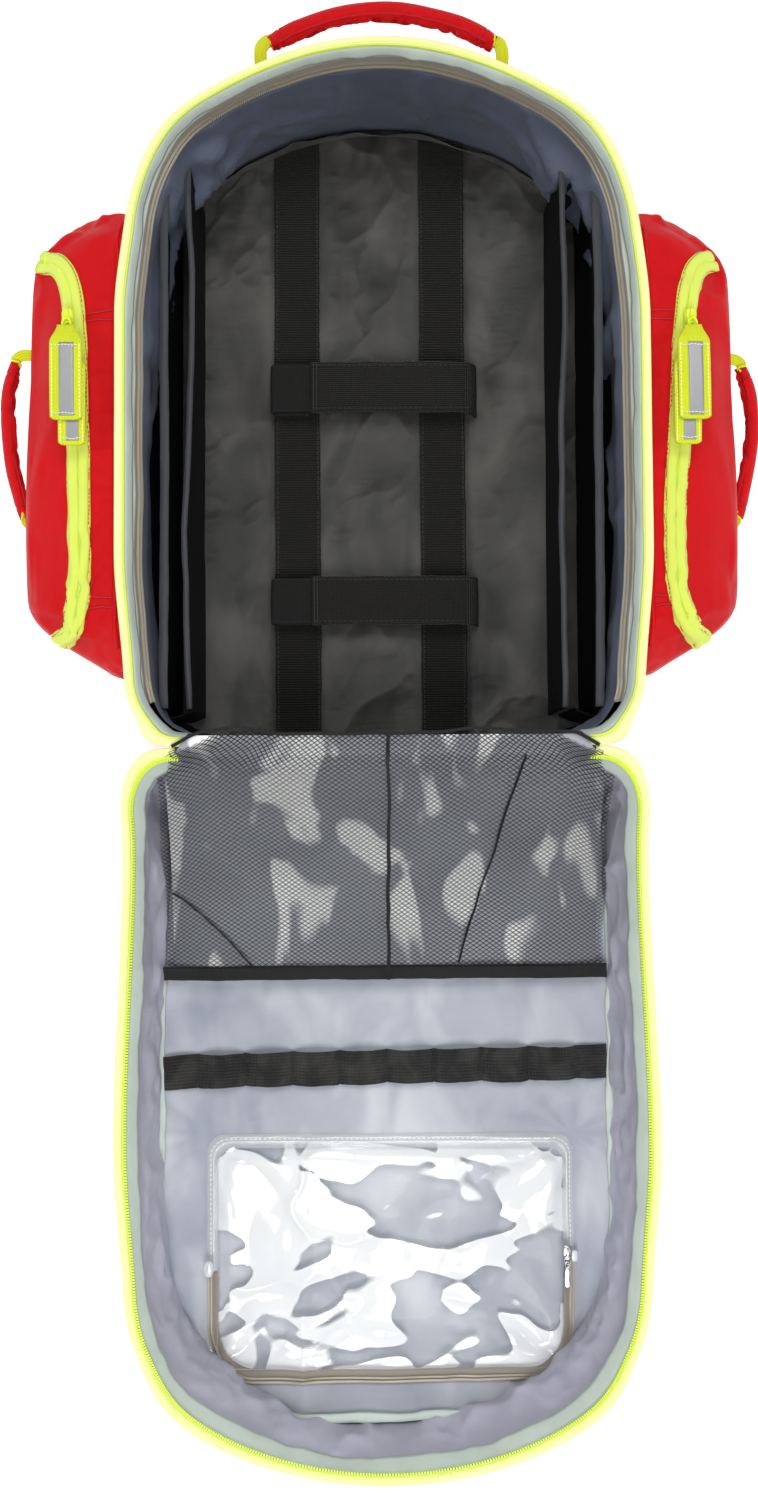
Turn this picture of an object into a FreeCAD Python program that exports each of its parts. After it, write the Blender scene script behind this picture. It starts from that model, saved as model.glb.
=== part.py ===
import FreeCAD, Part
import Sketcher
import math
import os
import re
from FreeCAD import Placement, Rotation, Vector

# Trauma backpack: a clamshell rucksack lying on its back with its lid opened flat (180 degrees).
# Frame, in millimetres: X across the bag, +Y towards the carrying handle, +Z up, the floor at Z = 0.
# Body and lid share one rim outline; they meet at the fabric hinge, which runs along X.

os.makedirs("parts", exist_ok=True)
doc = FreeCAD.newDocument("TraumaBackpack")

# ---- Driving dimensions -------------------------------------------------------------------------

DIMENSIONS = {
    "rim_half_width": (200, "half the width of body and lid at the rim"),
    "rim_length": (535, "hinge line to the crown of the rim, the same on body and lid"),
    "hinge_corner": (50, "corner radius of the rim beside the hinge"),
    "shoulder_radius": (115, "radius of the rim's far corners"),
    "crown_rise": (140, "height of the crown above the centres of the far corners"),
    "hinge_shift": (-28.6, "Y of the hinge line, which centres the open bag on the origin"),
    "hinge_gap": (2.6, "between the two rim outlines at the hinge"),
    "rim_height": (170, "height of both rims above the floor"),
    "back_height": (24, "height of the body's underside"),
    "lid_face": (80, "height of the lid's outer face when it lies open"),
    "fabric": (3, "padded wall fabric"),
    "lining": (1.6, "lining fabric"),
    "board": (4, "stiffening board"),
    "tape_width": (7, "zip tape seen on top of the rim"),
    "tape_depth": (5, "zip tape down the side of the rim"),
    "tape_proud": (1.2, "zip tape outside the wall"),
    "gap": (0.3, "clearance between neighbouring pieces"),
    "webbing": (38, "wide webbing"),
    "webbing_thick": (1.6, "thickness of webbing"),
    "loop_spacing": (121, "between the centres of the two loop tapes"),
    "loop_shift": (-6, "offset of the pair of loop tapes from the middle"),
    "bottle_strap": (41, "width of a bottle strap"),
    "bottle_upper": (309, "upper bottle strap above the hinge line"),
    "bottle_lower": (127, "lower bottle strap above the hinge line"),
    "bottle_room": (13, "free height under a bottle strap"),
    "divider_x": (150, "side dividers from the middle"),
    "sleeve_x": (165, "side sleeves from the middle"),
    "divider_top": (132, "height of the side dividers' upper edge"),
    "pocket_depth": (74, "side pocket, wall to outer face"),
    "pocket_low": (58, "lower end of a side pocket above the hinge line"),
    "pocket_high": (416, "upper end of a side pocket above the hinge line"),
    "pocket_taper": (28, "how far each end of a side pocket draws in at its outer face"),
    "pocket_base": (30, "underside of a side pocket"),
    "pocket_edge": (14, "radius of a side pocket's soft outer edges"),
    "pocket_top": (148, "upper face of a side pocket"),
    "zip_x": (231, "middle of a side pocket's zip from the bag's middle"),
    "zip_width": (17, "width of a side pocket's zip tape"),
    "slider_rest": (330, "upper pocket slider above the hinge line"),
    "tab_width": (24, "pull tab on the side pockets"),
    "tab_length": (61, "pull tab on the side pockets"),
    "handle_z": (110, "height of the carrying handle"),
    "carry_root": (2.4, "how far the handle's webbing stays clear of the rim outline"),
    "handle_grip": (8, "radius of the carrying handle's padded tube"),
    "handle_bend": (136, "radius of the carrying handle's arch"),
    "handle_crown": (588, "middle of the handle's tube above the hinge line"),
    "handle_span": (76, "angle that the carrying handle's arch covers, degrees"),
    "grab_z": (92, "height of the side grab handles"),
    "grab_grip": (6, "radius of a grab handle's tube"),
    "grab_bend": (142, "radius of a grab handle's arch"),
    "grab_span": (51, "angle that a grab handle's arch covers, degrees"),
    "grab_mid": (248, "middle of a grab handle above the hinge line"),
    "grab_crown": (298, "middle of a grab handle's tube from the bag's middle"),
    "panel_half_width": (175, "lid's inner panel"),
    "panel_top": (88, "height of the lid's inner panel"),
    "mesh_length": (170, "mesh pocket from the hinge to its hem"),
    "mesh_height": (14, "room inside the mesh pocket"),
    "hem": (12, "width of the mesh pocket's hem"),
    "elastic_at": (245, "middle of the elastic loop band from the hinge"),
    "elastic_width": (28, "width of the elastic band"),
    "elastic_pitch": (38, "from loop to loop"),
    "clear_at": (394, "middle of the clear pocket from the hinge"),
    "clear_width": (290, "clear pocket across the bag"),
    "clear_length": (181, "clear pocket along the bag"),
    "clear_height": (10, "clear pocket above the panel"),
    "front_half_width": (165, "front pocket on the lid's outside"),
    "front_near": (40, "front pocket's end by the hinge"),
    "front_far": (470, "front pocket's far end"),
    "strap_width": (66, "padded shoulder strap"),
    "strap_thick": (11, "padded shoulder strap"),
    "strap_x": (92, "shoulder strap from the bag's middle"),
    "strap_anchor": (455, "where a shoulder strap is sewn on, above the hinge line"),
    "strap_end": (150, "lower end of a strap's padding above the hinge line"),
    "strap_webbing": (25, "width of a strap's adjusting webbing"),
}

dims = doc.addObject("Spreadsheet::Sheet", "Dims")
for row, (alias, (number, note)) in enumerate(DIMENSIONS.items(), start=1):
    dims.set(f"A{row}", alias)
    dims.set(f"B{row}", str(number))
    dims.setAlias(f"B{row}", alias)
    dims.set(f"C{row}", note)
doc.recompute()

ALIASES = re.compile(r"\b(" + "|".join(DIMENSIONS) + r")\b")
SUB_PARTS = []
SIDES = {"left": -1, "right": 1}


def size(alias):
    """A driving dimension, read back from the sheet."""
    return float(dims.get(alias))


def bind(thing, **sizes):
    """Bind properties of an object to formulas of the sheet's dimensions."""
    for prop, formula in sizes.items():
        thing.setExpression(prop.replace("_", "."), ALIASES.sub(r"Dims.\1", str(formula)))


def place(thing, x=0, y=0, z=0):
    """Bind an object's place; y is counted from the hinge line."""
    bind(thing, Placement_Base_x=x, Placement_Base_y=f"hinge_shift + ({y})", Placement_Base_z=z)
    return thing


def sub_part(label, thing):
    """Name a finished sub-part, which is also the name of its file."""
    thing.Label = label
    SUB_PARTS.append(thing)
    return thing


def box(name, x, y, z, along_x, along_y, along_z):
    """A box centred on x and y (y from the hinge line) and standing on z."""
    block = doc.addObject("Part::Box", name)
    bind(block, Length=along_x, Width=along_y, Height=along_z)
    return place(block, f"({x}) - ({along_x}) / 2", f"({y}) - ({along_y}) / 2", z)


def cut(name, base, tool):
    piece = doc.addObject("Part::Cut", name)
    piece.Base = base
    piece.Tool = tool
    return piece


def join(name, pieces):
    whole = doc.addObject("Part::MultiFuse", name)
    whole.Shapes = pieces
    return whole


def group(name, pieces):
    """Several separate solids that share one node."""
    whole = doc.addObject("Part::Compound", name)
    whole.Links = pieces
    return whole


def rounded(name, base, radius, wanted):
    """Round the edges of a solid for which wanted(edge) is true."""
    doc.recompute()
    fillet = doc.addObject("Part::Fillet", name)
    fillet.Base = base
    edges = [number for number, edge in enumerate(base.Shape.Edges, start=1) if wanted(edge)]
    fillet.Edges = [(number, radius, radius) for number in edges]
    return fillet


def runs_along(edge, axis):
    direction = edge.Vertexes[-1].Point - edge.Vertexes[0].Point
    return direction.Length > 0 and abs(direction.normalize().dot(axis)) > 0.999


# ---- The rim outline, shared by body and lid ----------------------------------------------------

CROWN_RADIUS = (
    "(((rim_half_width - shoulder_radius)^2 + crown_rise^2 - shoulder_radius^2)"
    " / (2 * (crown_rise - shoulder_radius)))"
)


def rim_sketch(name, away):
    """Straight hinge edge, small hinge corners, straight sides, large far corners and an arched crown.

    away is 1 for the body, which lies above the hinge line, and -1 for the lid below it.
    """
    half = size("rim_half_width")
    corner = size("hinge_corner")
    shoulder = size("shoulder_radius")
    rise = size("crown_rise")
    across = half - shoulder
    along = size("rim_length") - rise
    crown = (across ** 2 + rise ** 2 - shoulder ** 2) / (2 * (rise - shoulder))
    crown_y = size("rim_length") - crown
    lean = math.atan2(along - crown_y, across)
    up = Vector(0, 0, 1)

    def arc(x, y, radius, start, stop):
        """An arc with its angles counted from +X for the body, mirrored in X for the lid."""
        first, last = (start, stop) if away > 0 else (-stop, -start)
        return Part.ArcOfCircle(Part.Circle(Vector(x, away * y, 0), up, radius), first, last)

    def line(x0, y0, x1, y1):
        return Part.LineSegment(Vector(x0, away * y0, 0), Vector(x1, away * y1, 0))

    sketch = doc.addObject("Sketcher::SketchObject", name)
    outline = [
        line(corner - half, 0, half - corner, 0),
        arc(half - corner, corner, corner, -math.pi / 2, 0),
        line(half, corner, half, along),
        arc(across, along, shoulder, 0, lean),
        arc(0, crown_y, crown, lean, math.pi - lean),
        arc(-across, along, shoulder, math.pi - lean, math.pi),
        line(-half, along, -half, corner),
        arc(corner - half, corner, corner, math.pi, 1.5 * math.pi),
    ]
    sketch.addGeometry(outline, False)
    hinge, near_right, right, far_right, crown_arc, far_left, left, near_left = range(8)

    def limit(kind, *where, formula=None):
        number = sketch.addConstraint(Sketcher.Constraint(kind, *where))
        if formula:
            sketch.setExpression(f"Constraints[{number}]", ALIASES.sub(r"Dims.\1", formula))

    limit("Horizontal", hinge)
    limit("Vertical", right)
    limit("Vertical", left)
    limit("Radius", near_right, corner, formula="hinge_corner")
    limit("Radius", near_left, corner, formula="hinge_corner")
    limit("Radius", far_right, shoulder, formula="shoulder_radius")
    limit("Radius", far_left, shoulder, formula="shoulder_radius")
    limit("Radius", crown_arc, crown, formula=CROWN_RADIUS)
    place(sketch, 0, 0 if away > 0 else "-hinge_gap")
    doc.recompute()
    return sketch


body_rim = rim_sketch("BodyRim", 1)
lid_rim = rim_sketch("LidRim", -1)


def slab(name, rim, inset, low, high):
    """The rim outline drawn in by inset and raised from low to high."""
    drawn_in = doc.addObject("Part::Offset2D", name + "Outline")
    drawn_in.Source = rim
    bind(drawn_in, Value=f"-({inset})")
    solid = doc.addObject("Part::Extrusion", name)
    solid.Base = drawn_in
    solid.DirMode = "Custom"
    solid.Dir = Vector(0, 0, 1)
    solid.Solid = True
    bind(solid, LengthFwd=high, LengthRev=f"-({low})")
    return solid


def ring(name, rim, outer, inner, low, high):
    """A wall between two insets of the rim outline."""
    around = slab(name + "Outer", rim, outer, low, high)
    inside = slab(name + "Inner", rim, inner, f"({low}) - 5", f"({high}) + 5")
    return cut(name, around, inside)


def tray(name, rim, outer, inner, low, floor, high):
    """A wall with a closed bottom."""
    around = slab(name + "Outer", rim, outer, low, high)
    inside = slab(name + "Inner", rim, inner, f"({low}) + ({floor})", f"({high}) + 5")
    return cut(name, around, inside)


def open_at_hinge(name, piece, away, reach):
    """Take away the stretch of a rim trim that would cross the fabric hinge."""
    block = box(name + "HingeGap", 0, f"{away} * 6", 0, f"2 * ({reach})", "40", "rim_height + 50")
    return cut(name, piece, block)


# ---- Body: walls, back and lining ---------------------------------------------------------------

WALL_TOP = "rim_height - tape_depth - gap"
LINING_OUT = "fabric + gap"
LINING_IN = "fabric + gap + lining"
BODY_FLOOR = "back_height + fabric"
BOARD_TOP = "back_height + fabric + gap + board"
PANEL_LEVEL = "back_height + fabric + 2 * gap + board + lining"
HINGE_CLEAR = "rim_half_width - hinge_corner + 12"

sub_part(
    "body_shell", tray("BodyShell", body_rim, "0.6", "fabric + 0.6", "back_height", "fabric", WALL_TOP),
)
sub_part(
    "back_board",
    slab("BackBoard", body_rim, "fabric + lining + 2", f"{BODY_FLOOR} + gap", BOARD_TOP),
)
sub_part(
    "back_panel_lining",
    slab("BackPanelLining", body_rim, "fabric + lining + 3", f"{BOARD_TOP} + gap", PANEL_LEVEL),
)
sub_part(
    "body_lining",
    ring(
        "BodyLining", body_rim, f"{LINING_OUT} + 0.6", f"{LINING_IN} + 0.6", f"{PANEL_LEVEL} + gap",
        "rim_height - 12",
    ),
)
body_tape = ring(
    "BodyTape", body_rim, "-tape_proud", "tape_width - tape_proud", "rim_height - tape_depth",
    "rim_height - 0.5",
)
sub_part("body_rim_tape", open_at_hinge("BodyRimTape", body_tape, 1, HINGE_CLEAR))
body_coil = ring(
    "BodyCoil", body_rim, "tape_width", "tape_width + 3", "rim_height - 4", "rim_height - 0.8",
)
sub_part("body_zip_chain", open_at_hinge("BodyZipChain", body_coil, 1, HINGE_CLEAR))
flap = ring(
    "StormStrip", body_rim, "tape_width + 0.5", "tape_width + 9", "rim_height - 7.5", "rim_height - 6",
)
sub_part("storm_flap", open_at_hinge("StormFlap", flap, 1, HINGE_CLEAR))
coil = ring(
    "InnerCoil", body_rim, f"{LINING_IN} + 1", f"{LINING_IN} + 4", "rim_height - 27", "rim_height - 21",
)
sub_part("inner_zip_coil", open_at_hinge("InnerZipCoil", coil, 1, HINGE_CLEAR))

# Standing side panels make two narrow slots along each wall.
for side, sign in SIDES.items():
    sub_part(
        f"side_divider_{side}",
        box(
            f"Divider{side}", f"{sign} * divider_x", 242, f"{PANEL_LEVEL} + gap", 3, 424,
            f"divider_top - ({PANEL_LEVEL})",
        ),
    )
    sub_part(
        f"side_sleeve_{side}",
        box(
            f"Sleeve{side}", f"{sign} * sleeve_x", 236, f"{PANEL_LEVEL} + gap", 2, 412,
            f"divider_top + 8 - ({PANEL_LEVEL})",
        ),
    )

# ---- Back panel: loop tapes and bottle straps ---------------------------------------------------

tapes = [
    box(
        f"LoopTape{side}", f"loop_shift + {sign} * loop_spacing / 2", 256, f"{PANEL_LEVEL} + 0.1",
        "webbing", 490, "webbing_thick",
    )
    for side, sign in SIDES.items()
]
sub_part("loop_tapes", group("LoopTapes", tapes))

STRAP_FOOT = f"{PANEL_LEVEL} + 0.1 + webbing_thick + gap"
STRAP_LEFT = -87
STRAP_SPLIT = -54
STRAP_RIGHT = 82
ROOM = f"{STRAP_FOOT} + bottle_room"


def bent_band(name, points, thick, length_formula):
    """A flat band whose side view is a chain of points (x, z), thickened upwards, made as a padded sketch."""
    body = doc.addObject("PartDesign::Body", name)
    plane = next(item for item in body.Origin.OriginFeatures if item.Role == "XZ_Plane")
    sketch = body.newObject("Sketcher::SketchObject", name + "Side")
    sketch.AttachmentSupport = [(plane, "")]
    sketch.MapMode = "FlatFace"
    chain = list(points) + [(x, z + thick) for x, z in reversed(points)]
    for index, start in enumerate(chain):
        stop = chain[(index + 1) % len(chain)]
        sketch.addGeometry(Part.LineSegment(Vector(*start, 0), Vector(*stop, 0)), False)
    for index in range(len(chain)):
        after = (index + 1) % len(chain)
        sketch.addConstraint(Sketcher.Constraint("Coincident", index, 2, after, 1))
    pad = body.newObject("PartDesign::Pad", name + "Pad")
    pad.Profile = sketch
    pad.Midplane = True
    bind(pad, Length=length_formula)
    return body


# Each bottle strap is a short hook end and a long webbing end that laps over it.
anchors = []
for name, height in (("Upper", "bottle_upper"), ("Lower", "bottle_lower")):
    hook = bent_band(
        f"Hook{name}",
        [(STRAP_LEFT, 0), (STRAP_LEFT + 12, 0), (STRAP_LEFT + 20, size("bottle_room")),
         (STRAP_SPLIT + 22, size("bottle_room"))],
        size("webbing_thick"),
        "bottle_strap - 2",
    )
    place(hook, 0, height, STRAP_FOOT)
    anchors.append(hook)
sub_part("bottle_strap_anchors", group("BottleStrapAnchors", anchors))
for name, height in (("upper", "bottle_upper"), ("lower", "bottle_lower")):
    lift = size("bottle_room") + size("webbing_thick") + size("gap")
    long_end = bent_band(
        f"LongEnd{name}",
        [(STRAP_SPLIT, lift), (STRAP_RIGHT - 22, lift), (STRAP_RIGHT - 10, 0), (STRAP_RIGHT, 0)],
        2 * size("webbing_thick"),
        "bottle_strap",
    )
    sub_part(f"bottle_strap_{name}_flap", place(long_end, 0, height, STRAP_FOOT))

# ---- Side pockets with their zips, sliders, pull tabs and grab handles ---------------------------

ZIP_TOP = "pocket_top + gap + 2"


def slanted_block(sign, out, low, high, bottom, top, depth, draw):
    """A block standing out from x = sign * out whose ends and underside draw in by draw over its depth."""
    half = (high - low) / 2
    inner = [
        Vector(0, -half, bottom),
        Vector(0, half, bottom),
        Vector(0, half, top),
        Vector(0, -half, top),
    ]
    x = sign * depth
    outer = [
        Vector(x, draw - half, bottom + draw / 2),
        Vector(x, half - draw, bottom + draw / 2),
        Vector(x, half - draw, top),
        Vector(x, draw - half, top),
    ]
    wires = [Part.makePolygon(points + points[:1]) for points in (inner, outer)]
    solid = Part.makeLoft(wires, True, True)
    if solid.Volume < 0:
        solid.reverse()
    return solid


def pocket_solid(side, sign):
    base = slanted_block(
        sign, size("rim_half_width"), size("pocket_low"), size("pocket_high"),
        size("pocket_base"), size("pocket_top"), size("pocket_depth") - 1.5, size("pocket_taper"),
    )
    soft_edges = [
        edge for edge in base.Edges
        if abs(edge.BoundBox.XMin) + abs(edge.BoundBox.XMax) > size("pocket_depth")
    ]
    solid = base.makeFillet(size("pocket_edge"), soft_edges)
    feature = doc.addObject("Part::Feature", f"Pocket{side}")
    feature.Shape = solid
    middle = (size("pocket_low") + size("pocket_high")) / 2
    return place(feature, f"{sign} * (rim_half_width - 0.2)", middle, 0)


def zip_slider(name, x, y, z):
    """A slider body: a short block with a bridge on top that holds the pull tab."""
    base = box(name + "Base", x, y, z, 9, 13, 3)
    bridge = box(name + "Bridge", x, y, f"({z}) + 3", 3, 8, 2)
    return join(name, [base, bridge])


def pull_tab(name, x, y, z, wide, long, thick):
    """A folded webbing tab that hangs from y towards the hinge."""
    return box(name, x, f"({y}) - ({long}) / 2", z, wide, long, thick)


for side, sign in SIDES.items():
    sub_part(f"side_pocket_{side}", pocket_solid(side, sign))
    run = box(
        f"PocketZip{side}", f"{sign} * zip_x", "(pocket_low + pocket_high) / 2", "pocket_top + gap",
        "zip_width", 272, 2,
    )
    sub_part(f"side_pocket_{side}_zip", run)
    upper = zip_slider(f"SliderUpper{side}", f"{sign} * zip_x", "slider_rest", f"{ZIP_TOP} + gap")
    lower = zip_slider(f"SliderLower{side}", f"{sign} * zip_x", "slider_rest - 15", f"{ZIP_TOP} + gap")
    sub_part(f"side_pocket_{side}_slider_upper", upper)
    sub_part(f"side_pocket_{side}_slider_lower", lower)
    TAB_X = f"{sign} * zip_x"
    sub_part(
        f"side_pocket_{side}_tab_upper",
        pull_tab(
            f"TabUpper{side}", TAB_X, "slider_rest - 6", f"{ZIP_TOP} + gap + 8.6", "tab_width",
            "tab_length + 14", 2.2,
        ),
    )
    sub_part(
        f"side_pocket_{side}_tab_lower",
        pull_tab(
            f"TabLower{side}", TAB_X, "slider_rest - 21", f"{ZIP_TOP} + gap + 5.6", "tab_width - 2",
            "tab_length + 16", 2.2,
        ),
    )


def bent_tube(name, bend, grip, span, middle_angle):
    """A padded tube along an arc, the arc's middle at middle_angle in the XY plane."""
    tube = doc.addObject("Part::Torus", name)
    bind(tube, Radius1=bend, Radius2=grip, Angle3=span)
    turn = middle_angle - size(span) / 2
    tube.Placement = Placement(Vector(), Rotation(Vector(0, 0, 1), turn))
    return tube


for side, sign in SIDES.items():
    middle_angle = 0 if sign > 0 else 180
    tube = bent_tube(f"Grab{side}Tube", "grab_bend", "grab_grip", "grab_span", middle_angle)
    place(tube, f"{sign} * (grab_crown - grab_bend)", "grab_mid", "grab_z")
    reach = size("grab_bend") * math.sin(math.radians(size("grab_span") / 2))
    end_x = size("grab_crown") - size("grab_bend") * (1 - math.cos(math.radians(size("grab_span") / 2)))
    wall = size("rim_half_width") + size("pocket_depth")
    ends = [
        box(
            f"Grab{side}End{number}", sign * (wall + end_x) / 2 + sign * 0.4,
            f"grab_mid + {way * (reach - 3)}",
            "grab_z - 1", end_x - wall - 0.2, 20, 2,
        )
        for number, way in enumerate((-1, 1), start=1)
    ]
    sub_part(f"side_handle_{side}", tube)
    solid_ends = [cut(f"Grab{side}Web{number}", end, tube) for number, end in enumerate(ends, start=1)]
    sub_part(f"side_handle_{side}_webbing", group(f"Grab{side}Webbing", solid_ends))

# ---- Carrying handle on the top wall ------------------------------------------------------------

carry = bent_tube("CarryTube", "handle_bend", "handle_grip", "handle_span", 90)
place(carry, 0, "handle_crown - handle_bend", "handle_z")
sub_part("top_handle", carry)
half_span = math.radians(size("handle_span") / 2)
carry_end_x = size("handle_bend") * math.sin(half_span)
carry_end_y = size("handle_crown") - size("handle_bend") * (1 - math.cos(half_span))
end_outline = size("rim_length") - 13
webs = []
for side, sign in SIDES.items():
    web = box(
        f"CarryWeb{side}", sign * (carry_end_x + 2), (carry_end_y + 4 + end_outline + 2) / 2,
        "handle_z - 1",
        24, carry_end_y + 4 - end_outline - 2, 2,
    )
    outer_wall = slab(f"CarryWeb{side}Wall", body_rim, "-carry_root", 50, "rim_height")
    webs.append(cut(f"CarryWeb{side}Cut", cut(f"CarryWeb{side}Trim", web, carry), outer_wall))
sub_part("top_handle_webbing", group("CarryWebs", webs))

# ---- Hinge, back padding and shoulder straps ----------------------------------------------------

hinge = doc.addObject("Part::Cylinder", "HingeStrip")
bind(hinge, Radius="hinge_gap / 2 + gap / 2", Height=f"2 * ({HINGE_CLEAR}) - 40")
hinge.Placement = Placement(Vector(), Rotation(Vector(0, 1, 0), 90))
place(hinge, f"20 - ({HINGE_CLEAR})", "-hinge_gap / 2", "rim_height")
sub_part("hinge_strip", hinge)

spine = box("SpinePad", 0, 300, 0, 84, 300, "back_height - gap")
lumbar = box("LumbarPad", 0, 92, 0, 150, 84, "back_height - gap")
upright = Vector(0, 0, 1)
pads = [
    rounded(pad.Name + "Soft", pad, 20, lambda edge: runs_along(edge, upright))
    for pad in (spine, lumbar)
]
blades = [
    box(
        f"BladePad{side}", f"{sign} * (strap_x + 6)", 300, "strap_thick + 1.2",
        96, 290, "back_height - gap - strap_thick - 1.2",
    )
    for side, sign in SIDES.items()
]
sub_part("back_pads", group("BackPads", pads + blades))

# A padded strap hangs from its anchor; its adjusting webbing runs on to the bag's bottom corner.
WEBBING_FOOT_X = 165
WEBBING_FOOT_Y = 30
strap_length = size("strap_anchor") - size("strap_end")
for side, sign in SIDES.items():
    pad = box(
        f"StrapPad{side}", f"{sign} * (strap_x + 2)", "(strap_anchor + strap_end) / 2", 0,
        "strap_width - 10", "strap_anchor - strap_end", "strap_thick",
    )
    soft = rounded(f"StrapSoft{side}", pad, 22, lambda edge: runs_along(edge, upright))
    sub_part(f"shoulder_strap_{side}", soft)
    start = Vector(sign * (size("strap_x") + 2), size("strap_end") - 8, 0)
    stop = Vector(sign * WEBBING_FOOT_X, WEBBING_FOOT_Y, 0)
    run = stop - start
    web = doc.addObject("Part::Box", f"StrapWeb{side}")
    bind(web, Length="strap_webbing", Width=run.Length, Height="webbing_thick")
    heading = math.degrees(math.atan2(run.x, -run.y))
    turn = Rotation(Vector(0, 0, 1), 180 + heading)
    corner = start - turn.multVec(Vector(size("strap_webbing") / 2, 0, 0))
    web.Placement = Placement(Vector(), turn)
    place(web, corner.x, corner.y, 4)
    sub_part(f"strap_webbing_{side}", web)

# ---- Main zip sliders, parked in the notches beside the hinge -----------------------------------

MAIN_X = "rim_half_width - hinge_corner + 29"
for side, sign in SIDES.items():
    slider = box(
        f"MainSlider{side}", f"{sign} * ({MAIN_X})", "-hinge_gap / 2", "rim_height - 12", 8, 8, 9,
    )
    sub_part(f"main_slider_{side}", slider)
    tab = box(
        f"MainTab{side}", f"{sign} * ({MAIN_X})", "-hinge_gap / 2", "rim_height - 13.6 - 42", 2, 8, 42,
    )
    sub_part(f"main_tab_{side}", tab)

# ---- Lid: walls, panel and pockets --------------------------------------------------------------

LID_FLOOR = "lid_face + fabric"
sub_part(
    "lid_shell",
    tray("LidShell", lid_rim, "0.6", "fabric + 0.6", "lid_face", "fabric", WALL_TOP),
)
sub_part(
    "lid_lining",
    ring(
        "LidLining", lid_rim, f"{LINING_OUT} + 0.6", f"{LINING_IN} + 0.6",
        f"{LID_FLOOR} + gap", "rim_height - 12",
    ),
)
lid_tape = ring(
    "LidTape", lid_rim, "-tape_proud", "tape_width - tape_proud",
    "rim_height - tape_depth", "rim_height - 0.5",
)
sub_part("lid_rim_tape", open_at_hinge("LidRimTape", lid_tape, -1, HINGE_CLEAR))
lid_coil = ring(
    "LidCoil", lid_rim, "tape_width", "tape_width + 3",
    "rim_height - 4", "rim_height - 0.8",
)
sub_part("lid_zip_chain", open_at_hinge("LidZipChain", lid_coil, -1, HINGE_CLEAR))
panel_block = box(
    "PanelBlock", 0, "-rim_length / 2", f"{LID_FLOOR} + gap", "2 * panel_half_width", "rim_length",
    f"panel_top - ({LID_FLOOR}) - gap",
)
panel_outline = slab("PanelOutline", lid_rim, "fabric + lining + 1.6", "lid_face", "rim_height")
panel = doc.addObject("Part::Common", "LidPanel")
panel.Base = panel_block
panel.Tool = panel_outline
sub_part("lid_panel", panel)
# The mesh pocket is a low box that is open towards the lid's far end, with a bound hem.
MESH_FLOOR = "panel_top + gap"
MESH_WIDE = "2 * panel_half_width - 12"
mesh_block = box(
    "MeshBlock", 0, "-mesh_length / 2 - 8", MESH_FLOOR, MESH_WIDE, "mesh_length - 16",
    "mesh_height + 1.2",
)
mesh_room = box(
    "MeshRoom", 0, "-mesh_length / 2 - 10", f"({MESH_FLOOR}) - 1", f"{MESH_WIDE} - 4",
    "mesh_length - 16", "mesh_height + 1",
)
sub_part("mesh_pocket", cut("MeshPocket", mesh_block, mesh_room))
sub_part(
    "mesh_pocket_hem",
    box(
        "MeshHem", 0, "-mesh_length - gap - hem / 2", f"{MESH_FLOOR} + mesh_height - 0.4", MESH_WIDE,
        "hem", 2,
    ),
)

# One elastic band, sewn down at even steps, makes a row of loops.
LOOPS = 9
LOOP_ROOM = 7
band = box(
    "ElasticBand", 0, "-elastic_at", MESH_FLOOR, "2 * panel_half_width - 4", "elastic_width",
    LOOP_ROOM + 1.2,
)
rooms = [
    box(
        f"LoopRoom{number}", f"{number - (LOOPS - 1) / 2} * elastic_pitch", "-elastic_at",
        f"({MESH_FLOOR}) - 1", "elastic_pitch - 3", "elastic_width + 10", LOOP_ROOM + 1,
    )
    for number in range(LOOPS)
]
sub_part("elastic_loops", cut("ElasticLoops", band, group("LoopRooms", rooms)))

# The clear pocket is a shallow film box, face down on the panel, with a zip along its lower edges.
clear_block = box("ClearBlock", 0, "-clear_at", MESH_FLOOR, "clear_width", "clear_length", "clear_height")
clear_room = box(
    "ClearRoom", 0, "-clear_at", f"({MESH_FLOOR}) - 1", "clear_width - 4", "clear_length - 4",
    "clear_height",
)
sub_part("clear_pocket", cut("ClearPocket", clear_block, clear_room))
ZIP_FOOT = f"{MESH_FLOOR} + clear_height + gap"
U_ARM = 90
arms = [
    box(
        f"ClearZipArm{side}", f"{sign} * (clear_width / 2 - 6)",
        f"-clear_at - clear_length / 2 + {U_ARM} / 2 + 9",
        ZIP_FOOT, 7, U_ARM, 1.6,
    )
    for side, sign in SIDES.items()
]
base = box("ClearZipBase", 0, "-clear_at - clear_length / 2 + 6", ZIP_FOOT, "clear_width - 5", 7, 1.6)
sub_part("clear_pocket_zip", join("ClearZip", arms + [base]))
CLEAR_SLIDER_Y = f"-clear_at - clear_length / 2 + {U_ARM} + 1"
sub_part(
    "clear_pocket_slider",
    zip_slider("ClearSlider", "clear_width / 2 - 6", CLEAR_SLIDER_Y, f"{ZIP_FOOT} + 1.6 + gap"),
)
sub_part(
    "clear_pocket_puller",
    box(
        "ClearPuller", "clear_width / 2 - 6", f"({CLEAR_SLIDER_Y}) - 17",
        f"{ZIP_FOOT} + 1.6 + gap + 5.4", 5, 20, 1.2,
    ),
)

# ---- Front pocket, on the lid's outside; the open lid stands on it ------------------------------

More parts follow.
